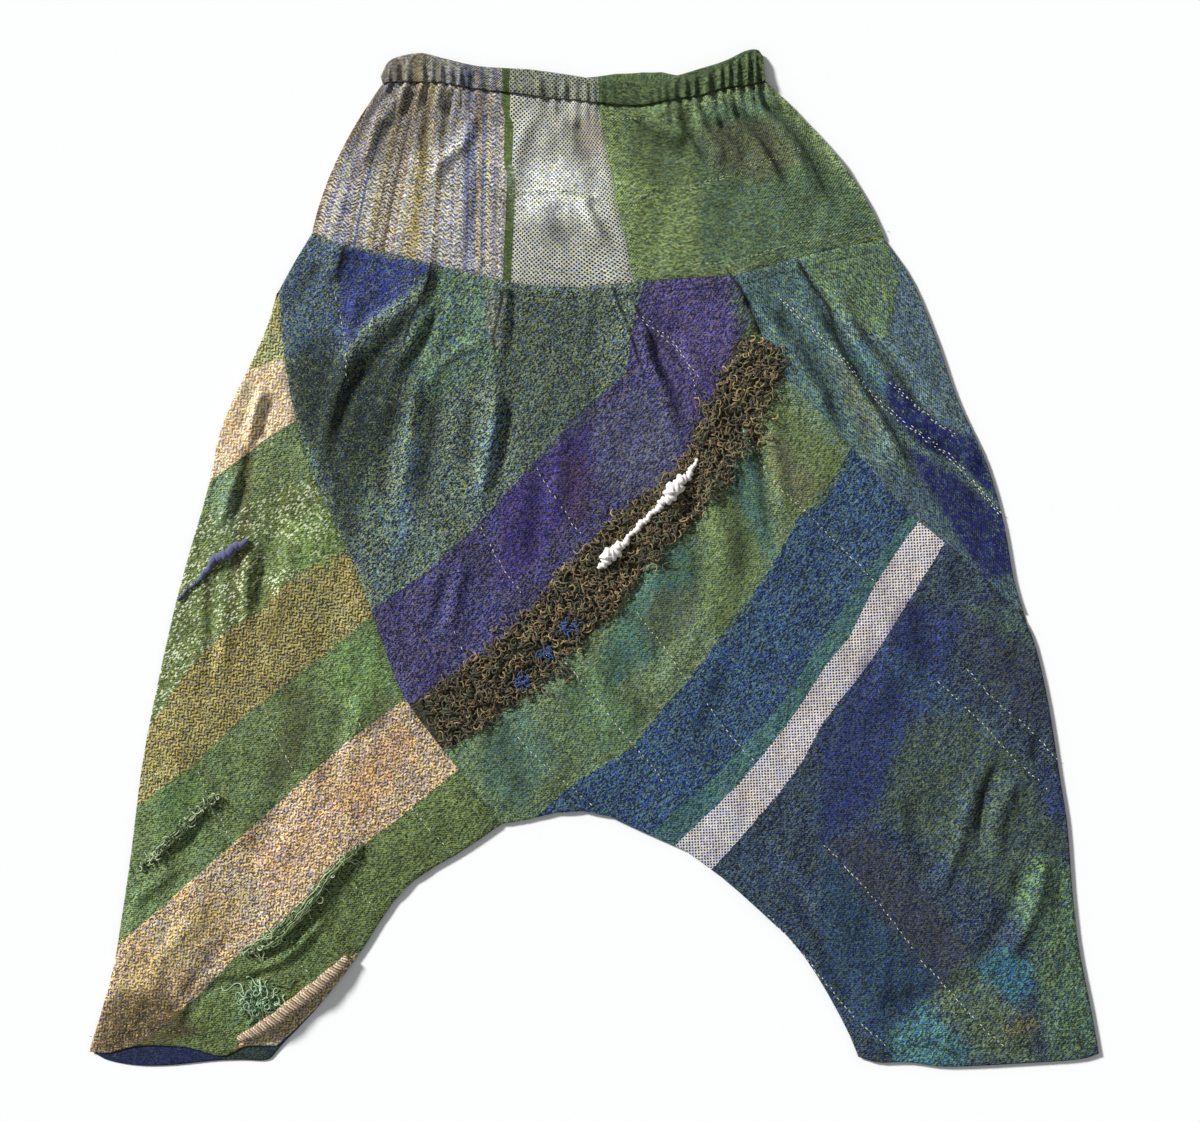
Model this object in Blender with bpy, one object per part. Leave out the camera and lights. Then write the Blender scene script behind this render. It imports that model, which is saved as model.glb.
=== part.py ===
"""Baggy drop-crotch trousers of handwoven cloth, laid flat with the front up.

The waist points to +Y, the floor is z = 0 and the origin is under the middle of the whole.
Left and right are the viewer's, looking down at the front. The back panels lie flat on the
floor. The front panels lie on them as walls of even thickness, raised by the pleats and
folds that one table lists, so that panels which meet at a seam have the same height there.
"""

import math
from collections import namedtuple

import bmesh
import bpy
import numpy as np
from mathutils import Vector
from mathutils.bvhtree import BVHTree

# Cloth
CLOTH = 0.0018
CASING_CLOTH = 0.0034
SEAM_GAP = 0.0003
FRONT_LIE = CLOTH + SEAM_GAP
CASING_LIE = CASING_CLOTH + SEAM_GAP
PUFF = 0.0022
PUFF_REACH = 0.055
FOLD_LIMIT = 0.0085
FOLD_RISE = 0.12
FOLD_START = 0.45
FOLD_FADE = 0.45
FOLD_EDGE_FADE = 0.012
TRIM_CLEARANCE = 0.0004

# Mesh density
CURVE_STEPS = 12
FOLD_POINTS = 9
STATION_STEPS = 3
CASING_ROWS = 3
YOKE_ROWS = 8
HIP_OUTLINE_ROWS = 2
LEG_SEAM_ROWS = 22
ARCH_ROWS = 7
INSEAM_ROWS = 12
LEG_COLUMNS = 11
TOP_FADE = 0.30
BOTTOM_FADE = 0.12

# Loop fringe
STRIP_LENGTH_CELLS = 40
STRIP_WIDTH_CELLS = 5
STRIP_BACKING = 0.0010
LOOP_HEIGHT = 0.0065
LOOP_LEAN = 0.0012
STRIP_RAGGED = 0.12
STRIP_REACH = 0.004
STRIP_CLEAR_OF_YARN = 0.012
RAGGED_PACE = (2.3, 1.1)
LOOP_SWING = (12.9898, 43758.5453)
LOOP_LOWEST = 0.55
LEAN_PACE = 3.1

# Loose yarns
YARN_POINTS = 22
YARN_STEP = 0.002

# Where the laid height is felt round a place: share of the reach, and spots on each ring
FEEL_RINGS = (0.5, 1.0)
FEEL_SPOTS = 12
FEEL_FROM = 0.1

# A cross-section from the waist edge through the casing's seam to the yoke's lower seam.
Station = namedtuple("Station", "top casing seam bow")
STATIONS = (
    Station((-0.196, 0.443), (-0.194, 0.436), (-0.259, 0.299), -0.009),
    Station((-0.186, 0.458), (-0.186, 0.437), (-0.229, 0.287), -0.005),
    Station((-0.160, 0.464), (-0.160, 0.437), (-0.193, 0.281), -0.002),
    Station((-0.137, 0.459), (-0.137, 0.436), (-0.149, 0.270), 0.0),
    Station((-0.105, 0.452), (-0.107, 0.431), (-0.109, 0.261), 0.0),
    Station((-0.059, 0.449), (-0.059, 0.425), (-0.068, 0.252), 0.0),
    Station((-0.022, 0.444), (-0.022, 0.421), (-0.018, 0.249), 0.0),
    Station((0.005, 0.440), (0.003, 0.418), (0.037, 0.253), 0.0),
    Station((0.042, 0.438), (0.042, 0.416), (0.070, 0.256), 0.001),
    Station((0.070, 0.442), (0.072, 0.421), (0.100, 0.258), 0.003),
    Station((0.098, 0.450), (0.098, 0.425), (0.130, 0.260), 0.005),
    Station((0.120, 0.457), (0.118, 0.431), (0.165, 0.270), 0.007),
    Station((0.139, 0.466), (0.136, 0.433), (0.201, 0.279), 0.010),
    Station((0.150, 0.467), (0.150, 0.436), (0.235, 0.287), 0.012),
    Station((0.155, 0.461), (0.157, 0.438), (0.267, 0.293), 0.014),
)
YOKE_SPLIT = 7
HIP_SPLIT = 10
BACK_STATION = 6
# How far the back's casing rises above the front's: a place along X and the rise there.
BACK_RISE = ((-0.010, 0.0), (0.020, 0.007), (0.045, 0.009), (0.062, 0.007), (0.078, 0.0))

# Edges of the panels, each from its upper end to its lower end.
LEFT_HIP = ((-0.259, 0.299), (-0.276, 0.271), (-0.289, 0.247))
LEG_SEAM = (
    (-0.289, 0.247), (-0.284, 0.186), (-0.273, 0.127), (-0.251, 0.062), (-0.219, -0.009),
    (-0.197, -0.067), (-0.174, -0.127), (-0.130, -0.186), (-0.085, -0.244))
ARCH = (
    (-0.085, -0.244), (-0.062, -0.240), (-0.037, -0.234), (-0.013, -0.232), (0.012, -0.236),
    (0.042, -0.250), (0.083, -0.268))
RIGHT_INSEAM = (
    (0.083, -0.268), (0.121, -0.296), (0.160, -0.331), (0.185, -0.355), (0.209, -0.390),
    (0.233, -0.434), (0.243, -0.458))
LEFT_INSEAM = (
    (-0.085, -0.244), (-0.120, -0.268), (-0.166, -0.296), (-0.190, -0.323), (-0.212, -0.358),
    (-0.235, -0.389), (-0.262, -0.420), (-0.292, -0.448))
LEFT_OUTLINE = (
    (-0.289, 0.247), (-0.305, 0.201), (-0.320, 0.170), (-0.343, 0.118), (-0.355, 0.063),
    (-0.371, 0.008), (-0.386, -0.048), (-0.404, -0.130), (-0.416, -0.195), (-0.425, -0.268),
    (-0.433, -0.323), (-0.442, -0.378), (-0.458, -0.434), (-0.464, -0.453))
HIP_SEAM = (
    (0.130, 0.260), (0.150, 0.215), (0.175, 0.168), (0.228, 0.112), (0.285, 0.046),
    (0.334, 0.005), (0.391, -0.049))
RIGHT_HIP = (
    (0.267, 0.293), (0.292, 0.256), (0.315, 0.201), (0.334, 0.146), (0.360, 0.090),
    (0.376, 0.035), (0.386, -0.020), (0.395, -0.049))
RIGHT_OUTLINE = (
    (0.391, -0.049), (0.404, -0.075), (0.417, -0.130), (0.428, -0.200), (0.435, -0.245),
    (0.440, -0.310), (0.446, -0.360), (0.456, -0.410), (0.464, -0.455))
LEFT_HEM = (
    (-0.464, -0.453), (-0.445, -0.454), (-0.418, -0.448), (-0.376, -0.449), (-0.342, -0.457),
    (-0.320, -0.448), (-0.292, -0.448))
LEFT_BACK_HEM = (
    (-0.462, -0.453), (-0.448, -0.461), (-0.421, -0.466), (-0.390, -0.466), (-0.350, -0.462),
    (-0.325, -0.461), (-0.300, -0.461), (-0.290, -0.450))
RIGHT_HEM = (
    (0.243, -0.458), (0.262, -0.463), (0.290, -0.463), (0.328, -0.467), (0.410, -0.463),
    (0.447, -0.460), (0.464, -0.455))
LEG_TIP = (-0.2915, 0.2430)
BACK_MIDDLE = ((-0.018, 0.249), (-0.014, 0.010), (-0.013, -0.232))

# A fold runs from its upper end to its lower end, bowed sideways by bow (towards +X is
# positive), and falls off over its west (towards -X) and east widths.
Fold = namedtuple("Fold", "start end bow height west east")
FOLDS = (
    # Pleats set into the yoke seam
    Fold((-0.229, 0.285), (-0.243, 0.248), 0.000, 0.0040, 0.020, 0.006),
    Fold((-0.149, 0.268), (-0.176, 0.190), 0.002, 0.0060, 0.026, 0.006),
    Fold((-0.080, 0.253), (-0.089, 0.160), 0.001, 0.0060, 0.026, 0.006),
    Fold((0.018, 0.249), (0.054, 0.140), 0.003, 0.0060, 0.006, 0.024),
    Fold((0.037, 0.225), (0.092, 0.112), -0.004, 0.0040, 0.006, 0.018),
    Fold((0.125, 0.260), (0.154, 0.205), 0.002, 0.0045, 0.007, 0.020),
    Fold((0.181, 0.275), (0.290, 0.100), 0.008, 0.0065, 0.007, 0.026),
    # Soft folds of the body below the pleats
    Fold((-0.166, 0.236), (-0.262, 0.158), 0.006, 0.0030, 0.014, 0.016),
    Fold((-0.136, 0.230), (-0.200, 0.110), 0.004, 0.0030, 0.012, 0.014),
    Fold((-0.092, 0.185), (-0.104, 0.060), 0.003, 0.0028, 0.012, 0.012),
    Fold((0.235, 0.220), (0.300, 0.120), 0.004, 0.0035, 0.012, 0.008),
    Fold((0.262, 0.135), (0.322, 0.018), 0.004, 0.0035, 0.014, 0.009),
    Fold((0.318, 0.004), (0.343, -0.094), 0.003, 0.0030, 0.014, 0.010),
    Fold((0.153, 0.086), (0.170, 0.000), 0.002, 0.0022, 0.010, 0.010),
    Fold((0.372, -0.184), (0.352, -0.272), 0.002, 0.0028, 0.016, 0.012),
    Fold((0.412, -0.275), (0.372, -0.372), 0.003, 0.0028, 0.018, 0.014),
    Fold((0.020, -0.140), (0.105, -0.262), 0.004, 0.0022, 0.020, 0.018),
    Fold((-0.060, -0.150), (-0.020, -0.225), 0.003, 0.0022, 0.018, 0.020),
    Fold((-0.150, 0.060), (-0.120, -0.080), 0.006, 0.0020, 0.022, 0.022),
    Fold((0.210, -0.300), (0.275, -0.430), 0.002, 0.0024, 0.020, 0.018),
    # Left leg
    Fold((-0.330, 0.110), (-0.352, -0.020), 0.004, 0.0024, 0.016, 0.018),
    Fold((-0.262, 0.020), (-0.300, -0.130), 0.006, 0.0022, 0.020, 0.022),
    Fold((-0.380, -0.100), (-0.405, -0.280), 0.003, 0.0024, 0.016, 0.018),
    Fold((-0.210, -0.240), (-0.330, -0.400), 0.008, 0.0026, 0.022, 0.018),
    Fold((-0.345, -0.220), (-0.395, -0.420), 0.004, 0.0026, 0.018, 0.020),
    # Yoke
    Fold((-0.186, 0.434), (-0.214, 0.380), 0.003, 0.0030, 0.006, 0.010),
    Fold((-0.172, 0.434), (-0.198, 0.398), 0.002, 0.0028, 0.006, 0.008),
    Fold((-0.142, 0.425), (-0.151, 0.350), -0.003, 0.0034, 0.006, 0.010),
    Fold((-0.041, 0.418), (-0.042, 0.375), 0.000, 0.0028, 0.006, 0.008),
    Fold((0.050, 0.402), (0.088, 0.372), 0.001, 0.0022, 0.010, 0.008),
    Fold((0.089, 0.420), (0.106, 0.350), 0.003, 0.0030, 0.008, 0.008),
    Fold((0.116, 0.414), (0.192, 0.322), 0.006, 0.0042, 0.010, 0.007),
    Fold((0.140, 0.428), (0.233, 0.322), 0.008, 0.0040, 0.012, 0.008),
    # Gathers of the casing
    Fold((-0.186, 0.466), (-0.185, 0.434), 0.001, 0.0016, 0.006, 0.004),
    Fold((-0.166, 0.468), (-0.172, 0.432), 0.001, 0.0016, 0.005, 0.005),
    Fold((-0.144, 0.462), (-0.146, 0.430), 0.000, 0.0014, 0.005, 0.005),
    Fold((-0.118, 0.456), (-0.121, 0.428), 0.000, 0.0012, 0.006, 0.005),
    Fold((-0.086, 0.454), (-0.088, 0.424), 0.000, 0.0010, 0.006, 0.005),
    Fold((-0.052, 0.451), (-0.051, 0.420), 0.000, 0.0016, 0.006, 0.004),
    Fold((-0.026, 0.448), (-0.027, 0.418), 0.000, 0.0012, 0.006, 0.005),
    Fold((0.020, 0.444), (0.019, 0.414), 0.000, 0.0010, 0.007, 0.006),
    Fold((0.060, 0.444), (0.060, 0.414), 0.000, 0.0012, 0.007, 0.006),
    Fold((0.084, 0.450), (0.083, 0.418), 0.000, 0.0016, 0.005, 0.004),
    Fold((0.103, 0.456), (0.101, 0.422), 0.001, 0.0014, 0.005, 0.004),
    Fold((0.124, 0.462), (0.122, 0.428), 0.001, 0.0016, 0.005, 0.004),
    Fold((0.142, 0.467), (0.141, 0.431), 0.001, 0.0016, 0.004, 0.004),
)

# Route of the loop fringe: middle of the band and its width there.
Band = namedtuple("Band", "x y width")
STRIP = (
    Band(0.160, 0.196, 0.034), Band(0.136, 0.148, 0.056), Band(0.116, 0.102, 0.052),
    Band(0.079, 0.057, 0.044), Band(0.038, 0.017, 0.054), Band(0.001, -0.022, 0.058),
    Band(-0.045, -0.071, 0.060), Band(-0.096, -0.116, 0.056), Band(-0.147, -0.150, 0.050))

# Thick yarns that lie on the panels: a route and the yarn's radius at each of its points.
Knot = namedtuple("Knot", "x y radius")
WHITE_SLUB = (
    Knot(0.094, 0.091, 0.0012), Knot(0.088, 0.079, 0.0028), Knot(0.078, 0.068, 0.0052),
    Knot(0.071, 0.060, 0.0056), Knot(0.063, 0.051, 0.0032), Knot(0.052, 0.040, 0.0022),
    Knot(0.044, 0.032, 0.0026), Knot(0.034, 0.022, 0.0020), Knot(0.026, 0.013, 0.0034),
    Knot(0.017, 0.006, 0.0056), Knot(0.011, -0.001, 0.0048), Knot(0.005, -0.009, 0.0016))
BLUE_SLUB = (
    Knot(-0.318, 0.017, 0.0024), Knot(-0.328, 0.009, 0.0042), Knot(-0.341, 0.003, 0.0046),
    Knot(-0.351, -0.006, 0.0034), Knot(-0.360, -0.018, 0.0018), Knot(-0.370, -0.026, 0.0015),
    Knot(-0.382, -0.038, 0.0012))
FLOAT_UPPER = (
    Knot(-0.344, -0.217, 0.0016), Knot(-0.359, -0.228, 0.0030), Knot(-0.372, -0.241, 0.0026),
    Knot(-0.385, -0.254, 0.0028), Knot(-0.403, -0.271, 0.0022), Knot(-0.418, -0.285, 0.0014))
FLOAT_LOWER = (
    Knot(-0.212, -0.261, 0.0018), Knot(-0.240, -0.287, 0.0026), Knot(-0.257, -0.309, 0.0028),
    Knot(-0.275, -0.330, 0.0032), Knot(-0.292, -0.346, 0.0034), Knot(-0.310, -0.356, 0.0028),
    Knot(-0.325, -0.362, 0.0018))
ROLLED_EDGE = (
    Knot(-0.226, -0.366, 0.0020), Knot(-0.240, -0.380, 0.0032), Knot(-0.256, -0.394, 0.0036),
    Knot(-0.274, -0.408, 0.0038), Knot(-0.292, -0.422, 0.0036), Knot(-0.310, -0.433, 0.0030),
    Knot(-0.326, -0.441, 0.0018))
TANGLE_CENTRE = (-0.3055, -0.4055)
TANGLE_SIZE = (0.026, 0.020, 0.008)

# Colour, roughness
FINISHES = {
    "waistband_front": ((0.20, 0.22, 0.15), 0.90),
    "waistband_back": ((0.10, 0.16, 0.08), 0.90),
    "yoke_front_striped": ((0.34, 0.33, 0.30), 0.92),
    "yoke_front_green": ((0.07, 0.12, 0.05), 0.90),
    "yoke_back": ((0.09, 0.13, 0.07), 0.90),
    "leg_front_left": ((0.14, 0.19, 0.06), 0.92),
    "body_front": ((0.05, 0.09, 0.11), 0.93),
    "hip_front_right": ((0.04, 0.08, 0.10), 0.93),
    "back_left_leg": ((0.04, 0.06, 0.14), 0.93),
    "back_right_leg": ((0.05, 0.09, 0.09), 0.93),
    "loop_pile_strip": ((0.07, 0.06, 0.03), 0.98),
    "white_slub_yarn": ((0.72, 0.70, 0.66), 0.90),
    "blue_slub_yarn": ((0.03, 0.06, 0.22), 0.92),
    "green_float_upper": ((0.16, 0.24, 0.10), 0.92),
    "green_float_lower": ((0.13, 0.20, 0.07), 0.92),
    "green_thread_tangle": ((0.14, 0.24, 0.12), 0.95),
    "tan_rolled_edge": ((0.38, 0.28, 0.19), 0.92),
}


def curve_through(points, steps):
    """Points of the smooth curve through a run of points, with so many steps to an interval."""
    p = np.array(points, dtype=float)
    padded = np.vstack([2 * p[0] - p[1], p, 2 * p[-1] - p[-2]])
    curve = []
    for i in range(1, len(padded) - 2):
        a, b, c, d = padded[i - 1:i + 3]
        for t in np.arange(steps) / steps:
            curve.append(0.5 * (2 * b + (c - a) * t + (2 * a - 5 * b + 4 * c - d) * t * t
                                + (3 * b - a - 3 * c + d) * t ** 3))
    return np.array(curve + [p[-1]])


def smooth_points(points, count):
    """Even samples of the smooth curve through points, both ends included."""
    dense = curve_through(points, CURVE_STEPS)
    steps = np.linalg.norm(np.diff(dense[:, :2], axis=0), axis=1)
    along = np.concatenate([[0.0], np.cumsum(steps)])
    wanted = np.linspace(0.0, along[-1], count)
    return np.column_stack([np.interp(wanted, along, dense[:, k]) for k in range(dense.shape[1])])


def through_stations(name):
    """Points along one line of the station table, STATION_STEPS to an interval."""
    return curve_through([getattr(s, name) for s in STATIONS], STATION_STEPS)


def joined(*runs):
    """One run of points from several that follow each other end to start."""
    return np.vstack([runs[0]] + [run[1:] for run in runs[1:]])


def ruled(left, right, top=None, bottom=None):
    """Grid of plan points: row i crosses from left[i] to right[i], and the first and last
    rows follow the top and bottom edges, which fade into the straight rows beside them."""
    columns = len(top) if top is not None else len(bottom)
    share = np.linspace(0.0, 1.0, columns)
    if top is not None:
        steps = np.linalg.norm(np.diff(top, axis=0), axis=1)
        share = np.concatenate([[0.0], np.cumsum(steps)]) / steps.sum()
    grid = left[:, None, :] * (1 - share)[None, :, None] + right[:, None, :] * share[None, :, None]
    v = np.linspace(0.0, 1.0, len(left))
    ends = ((top, 0, v / TOP_FADE), (bottom, -1, (1.0 - v) / BOTTOM_FADE))
    for edge, row, passed in ends:
        if edge is not None:
            fade = np.clip(1.0 - passed, 0.0, 1.0) ** 2
            grid += (edge - grid[row])[None, :, :] * fade[:, None, None]
    return grid


def inset(loop_points, distance=SEAM_GAP / 2):
    """A closed run of plan points moved inwards by a distance, which leaves a seam's gap."""
    p = np.array(loop_points)
    ahead = np.roll(p, -1, axis=0) - p
    turn = math.copysign(1.0, np.sum(p[:, 0] * ahead[:, 1] - p[:, 1] * ahead[:, 0]))
    normals = np.column_stack([-ahead[:, 1], ahead[:, 0]]) * turn
    normals /= np.linalg.norm(normals, axis=1)[:, None]
    middle = normals + np.roll(normals, 1, axis=0)
    middle /= np.linalg.norm(middle, axis=1)[:, None]
    reach = distance / np.clip(np.sum(middle * normals, axis=1), 0.4, 1.0)
    return p + middle * reach[:, None]


def drawn_in(grid):
    """A panel's grid with its boundary moved inwards by half of the seam's gap."""
    rows, columns = grid.shape[:2]
    loop = [(0, c) for c in range(columns - 1)]
    loop += [(r, columns - 1) for r in range(rows - 1)]
    loop += [(rows - 1, c) for c in range(columns - 1, 0, -1)]
    loop += [(r, 0) for r in range(rows - 1, 0, -1)]
    moved = grid.copy()
    for (r, c), point in zip(loop, inset([grid[r, c] for r, c in loop])):
        moved[r, c] = point
    return moved


def silhouette():
    """The front's outline as one closed run of points, for the height of the puff."""
    return np.vstack([
        through_stations("top"), smooth_points(RIGHT_HIP, 24), smooth_points(RIGHT_OUTLINE, 24),
        smooth_points(RIGHT_HEM, 12)[::-1], smooth_points(RIGHT_INSEAM, 16)[::-1],
        smooth_points(ARCH, 12)[::-1], smooth_points(LEFT_INSEAM, 20), smooth_points(LEFT_HEM, 12)[::-1],
        smooth_points(LEFT_OUTLINE, 40)[::-1], smooth_points(LEFT_HIP, 5)[::-1]])


def nearest(points, path):
    """Distance from each point to a run of points, and the share of the run at that place."""
    best = np.full(len(points), 1e9)
    share = np.zeros(len(points))
    lengths = np.linalg.norm(np.diff(path, axis=0), axis=1)
    along = np.concatenate([[0.0], np.cumsum(lengths)])
    side = np.zeros(len(points))
    for i, (a, b) in enumerate(zip(path[:-1], path[1:])):
        step = b - a
        t = np.clip((points - a) @ step / max(step @ step, 1e-12), 0.0, 1.0)
        offset = points - (a + t[:, None] * step)
        distance = np.linalg.norm(offset, axis=1)
        closer = distance < best
        best = np.where(closer, distance, best)
        share = np.where(closer, (along[i] + t * lengths[i]) / along[-1], share)
        side = np.where(closer, step[0] * offset[:, 1] - step[1] * offset[:, 0], side)
    return best, share, side


def eased(x):
    """Smooth step from 0 at x = 0 to 1 at x = 1."""
    x = np.clip(x, 0.0, 1.0)
    return x * x * (3.0 - 2.0 * x)


def folds_at(points):
    """Height that the folds add at each plan point."""
    total = np.zeros(len(points))
    for fold in FOLDS:
        a, b = np.array(fold.start), np.array(fold.end)
        middle = (a + b) / 2 + np.array([fold.bow, 0.0])
        path = smooth_points((a, middle, b), FOLD_POINTS)
        distance, share, side = nearest(points, path)
        width = np.where(side > 0, fold.east, fold.west)
        ends = eased(share / FOLD_RISE + FOLD_START) * eased((1.0 - share) / FOLD_FADE)
        total += fold.height * np.exp(-(distance / width) ** 2) * ends
    return FOLD_LIMIT * np.tanh(total / FOLD_LIMIT)


def front_height(points, lie=FRONT_LIE):
    """Height of the front's underside at each plan point."""
    outline = silhouette()
    closed = np.vstack([outline, outline[:1]])
    distance = nearest(points, closed)[0]
    puff = PUFF * eased(distance / PUFF_REACH)
    return lie + puff + folds_at(points) * eased(distance / FOLD_EDGE_FADE)


def finish(obj, name):
    """Name an object, give it its own material and put it in the trousers' collection."""
    obj.name = name
    colour, roughness = FINISHES[name]
    material = bpy.data.materials.new(name)
    material.use_nodes = True
    shader = material.node_tree.nodes["Principled BSDF"]
    shader.inputs["Base Color"].default_value = (*colour, 1.0)
    shader.inputs["Roughness"].default_value = roughness
    shader.inputs["Metallic"].default_value = 0.0
    obj.data.materials.clear()
    obj.data.materials.append(material)
    return obj


def new_object(name, bm, collection):
    """A finished mesh object from a bmesh."""
    bmesh.ops.recalc_face_normals(bm, faces=bm.faces)
    mesh = bpy.data.meshes.new(name)
    bm.to_mesh(mesh)
    bm.free()
    obj = bpy.data.objects.new(name, mesh)
    collection.objects.link(obj)
    return finish(obj, name)


def cloth_wall(name, grid, collection, lie=FRONT_LIE, cloth=CLOTH):
    """A front panel: a grid bent to the front's height and thickened upwards."""
    plan = drawn_in(grid)
    rows, columns = plan.shape[:2]
    points = plan.reshape(-1, 2)
    heights = front_height(points, lie)
    bm = bmesh.new()
    bmesh.ops.create_grid(bm, x_segments=columns - 1, y_segments=rows - 1, size=1.0)
    bm.verts.ensure_lookup_table()
    for vert, (x, y), z in zip(bm.verts, points, heights):
        vert.co = (x, y, z)
    bmesh.ops.triangulate(bm, faces=bm.faces)
    raised = bmesh.ops.extrude_face_region(bm, geom=bm.faces)
    lifted = [item for item in raised["geom"] if isinstance(item, bmesh.types.BMVert)]
    bmesh.ops.translate(bm, verts=lifted, vec=(0.0, 0.0, cloth))
    return new_object(name, bm, collection)


def flat_wall(name, outline, collection, cloth=CLOTH):
    """A back panel: a flat outline on the floor, thickened upwards."""
    bm = bmesh.new()
    face = bm.faces.new([bm.verts.new((x, y, 0.0)) for x, y in inset(outline)])
    raised = bmesh.ops.extrude_face_region(bm, geom=[face])
    lifted = [item for item in raised["geom"] if isinstance(item, bmesh.types.BMVert)]
    bmesh.ops.translate(bm, verts=lifted, vec=(0.0, 0.0, cloth))
    bmesh.ops.triangulate(bm, faces=bm.faces)
    return new_object(name, bm, collection)


def waist_grid(first, last):
    """Plan grid of the casing between two stations, from its top edge to its seam."""
    top = through_stations("top")[first * STATION_STEPS:last * STATION_STEPS + 1]
    low = through_stations("casing")[first * STATION_STEPS:last * STATION_STEPS + 1]
    share = np.linspace(0.0, 1.0, CASING_ROWS + 1)[:, None, None]
    return top[None] * (1 - share) + low[None] * share


def yoke_grid(first, last):
    """Plan grid of the yoke between two stations, bowed out at the sides."""
    span = slice(first * STATION_STEPS, last * STATION_STEPS + 1)
    upper = through_stations("casing")[span]
    lower = through_stations("seam")[span]
    marks = np.arange(len(STATIONS)) * STATION_STEPS
    bow = np.interp(np.arange(marks[-1] + 1), marks, [s.bow for s in STATIONS])[span]
    share = np.linspace(0.0, 1.0, YOKE_ROWS + 1)[:, None, None]
    grid = upper[None] * (1 - share) + lower[None] * share
    grid[:, :, 0] += bow[None] * (4 * share * (1 - share))[:, :, 0]
    return grid


def body_edges():
    """Left and right edges of the body's rows, sampled at the same rows."""
    left = joined(
        smooth_points(LEFT_HIP, HIP_OUTLINE_ROWS + 1), smooth_points(LEG_SEAM, LEG_SEAM_ROWS + 1),
        smooth_points(ARCH, ARCH_ROWS + 1), smooth_points(RIGHT_INSEAM, INSEAM_ROWS + 1))
    right = joined(
        smooth_points(HIP_SEAM, HIP_OUTLINE_ROWS + LEG_SEAM_ROWS + 1),
        smooth_points(RIGHT_OUTLINE, ARCH_ROWS + INSEAM_ROWS + 1))
    return left, right


def body_grid():
    """Plan grid of the body: its rows fan from the yoke seam round the crotch to the hem."""
    left, right = body_edges()
    seam = through_stations("seam")[:HIP_SPLIT * STATION_STEPS + 1]
    return ruled(left, right, top=seam, bottom=smooth_points(RIGHT_HEM, len(seam)))


def leg_grid():
    """Plan grid of the left leg, from its tip at the hip to the hem."""
    right = joined(smooth_points(LEG_SEAM, LEG_SEAM_ROWS + 1), smooth_points(LEFT_INSEAM, INSEAM_ROWS + 1))
    left = smooth_points(LEFT_OUTLINE, len(right))
    left[0] = LEG_TIP
    return ruled(left, right, bottom=smooth_points(LEFT_HEM, LEG_COLUMNS + 1))


def hip_grid():
    """Plan grid of the right hip's wedge, from the yoke seam to its tip."""
    seam = through_stations("seam")[HIP_SPLIT * STATION_STEPS:]
    left = smooth_points(HIP_SEAM, HIP_OUTLINE_ROWS + LEG_SEAM_ROWS + 1)
    return ruled(left, smooth_points(RIGHT_HIP, len(left)), top=seam)


def back_outlines():
    """Closed outlines of the back: casing, yoke, left leg and right leg."""
    top = through_stations("top")
    rise = np.array(BACK_RISE)
    top[:, 1] += np.interp(top[:, 0], rise[:, 0], rise[:, 1])
    casing = through_stations("casing")
    seam = through_stations("seam")
    yoke = yoke_grid(0, len(STATIONS) - 1)
    middle = BACK_STATION * STATION_STEPS
    centre = smooth_points(BACK_MIDDLE, 7)
    arch = smooth_points(ARCH, 2 * ARCH_ROWS + 1)
    split = int(np.argmin(np.linalg.norm(arch - centre[-1], axis=1)))
    arch[split] = centre[-1]
    left_side = joined(smooth_points(LEFT_HIP, 3), smooth_points(LEFT_OUTLINE, 26))
    right_side = joined(smooth_points(RIGHT_HIP, 12), smooth_points(RIGHT_OUTLINE, 16))
    left_leg = joined(
        seam[:middle + 1], centre, arch[:split + 1][::-1], smooth_points(LEFT_INSEAM, 14),
        smooth_points(LEFT_BACK_HEM, 16)[::-1], left_side[::-1])[:-1]
    right_leg = joined(
        seam[middle:], right_side, smooth_points(RIGHT_HEM, 14)[::-1],
        smooth_points(RIGHT_INSEAM, 12)[::-1], arch[split:][::-1], centre[::-1])[:-1]
    return {
        "waistband_back": np.vstack([top, casing[::-1]]),
        "yoke_back": np.vstack([casing, yoke[1:-1, -1], seam[::-1], yoke[1:-1, 0][::-1]]),
        "back_left_leg": left_leg,
        "back_right_leg": right_leg,
    }


class Surface:
    """What has been laid so far, for finding the height on which a piece rests."""

    def __init__(self, objects):
        self.trees = [self.tree(obj) for obj in objects]

    @staticmethod
    def tree(obj):
        """Search tree of one object's faces."""
        mesh = obj.data
        return BVHTree.FromPolygons([v.co for v in mesh.vertices], [p.vertices for p in mesh.polygons])

    def add(self, obj):
        """Count one more object as laid."""
        self.trees.append(self.tree(obj))

    def height(self, x, y, reach):
        """Highest point of what is laid within reach of a place."""
        spots = [(x, y)]
        for ring in FEEL_RINGS:
            for k in range(FEEL_SPOTS):
                turn = math.tau * k / FEEL_SPOTS
                spots.append((x + ring * reach * math.cos(turn), y + ring * reach * math.sin(turn)))
        best = 0.0
        for px, py in spots:
            for tree in self.trees:
                hit = tree.ray_cast(Vector((px, py, FEEL_FROM)), Vector((0.0, 0.0, -1.0)))[0]
                if hit is not None:
                    best = max(best, hit.z)
        return best


def sideways(path):
    """Unit normals in plan along a run of points, towards the left of its direction."""
    step = np.gradient(path, axis=0)
    normal = np.column_stack([-step[:, 1], step[:, 0]])
    return normal / np.linalg.norm(normal, axis=1)[:, None]


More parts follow.
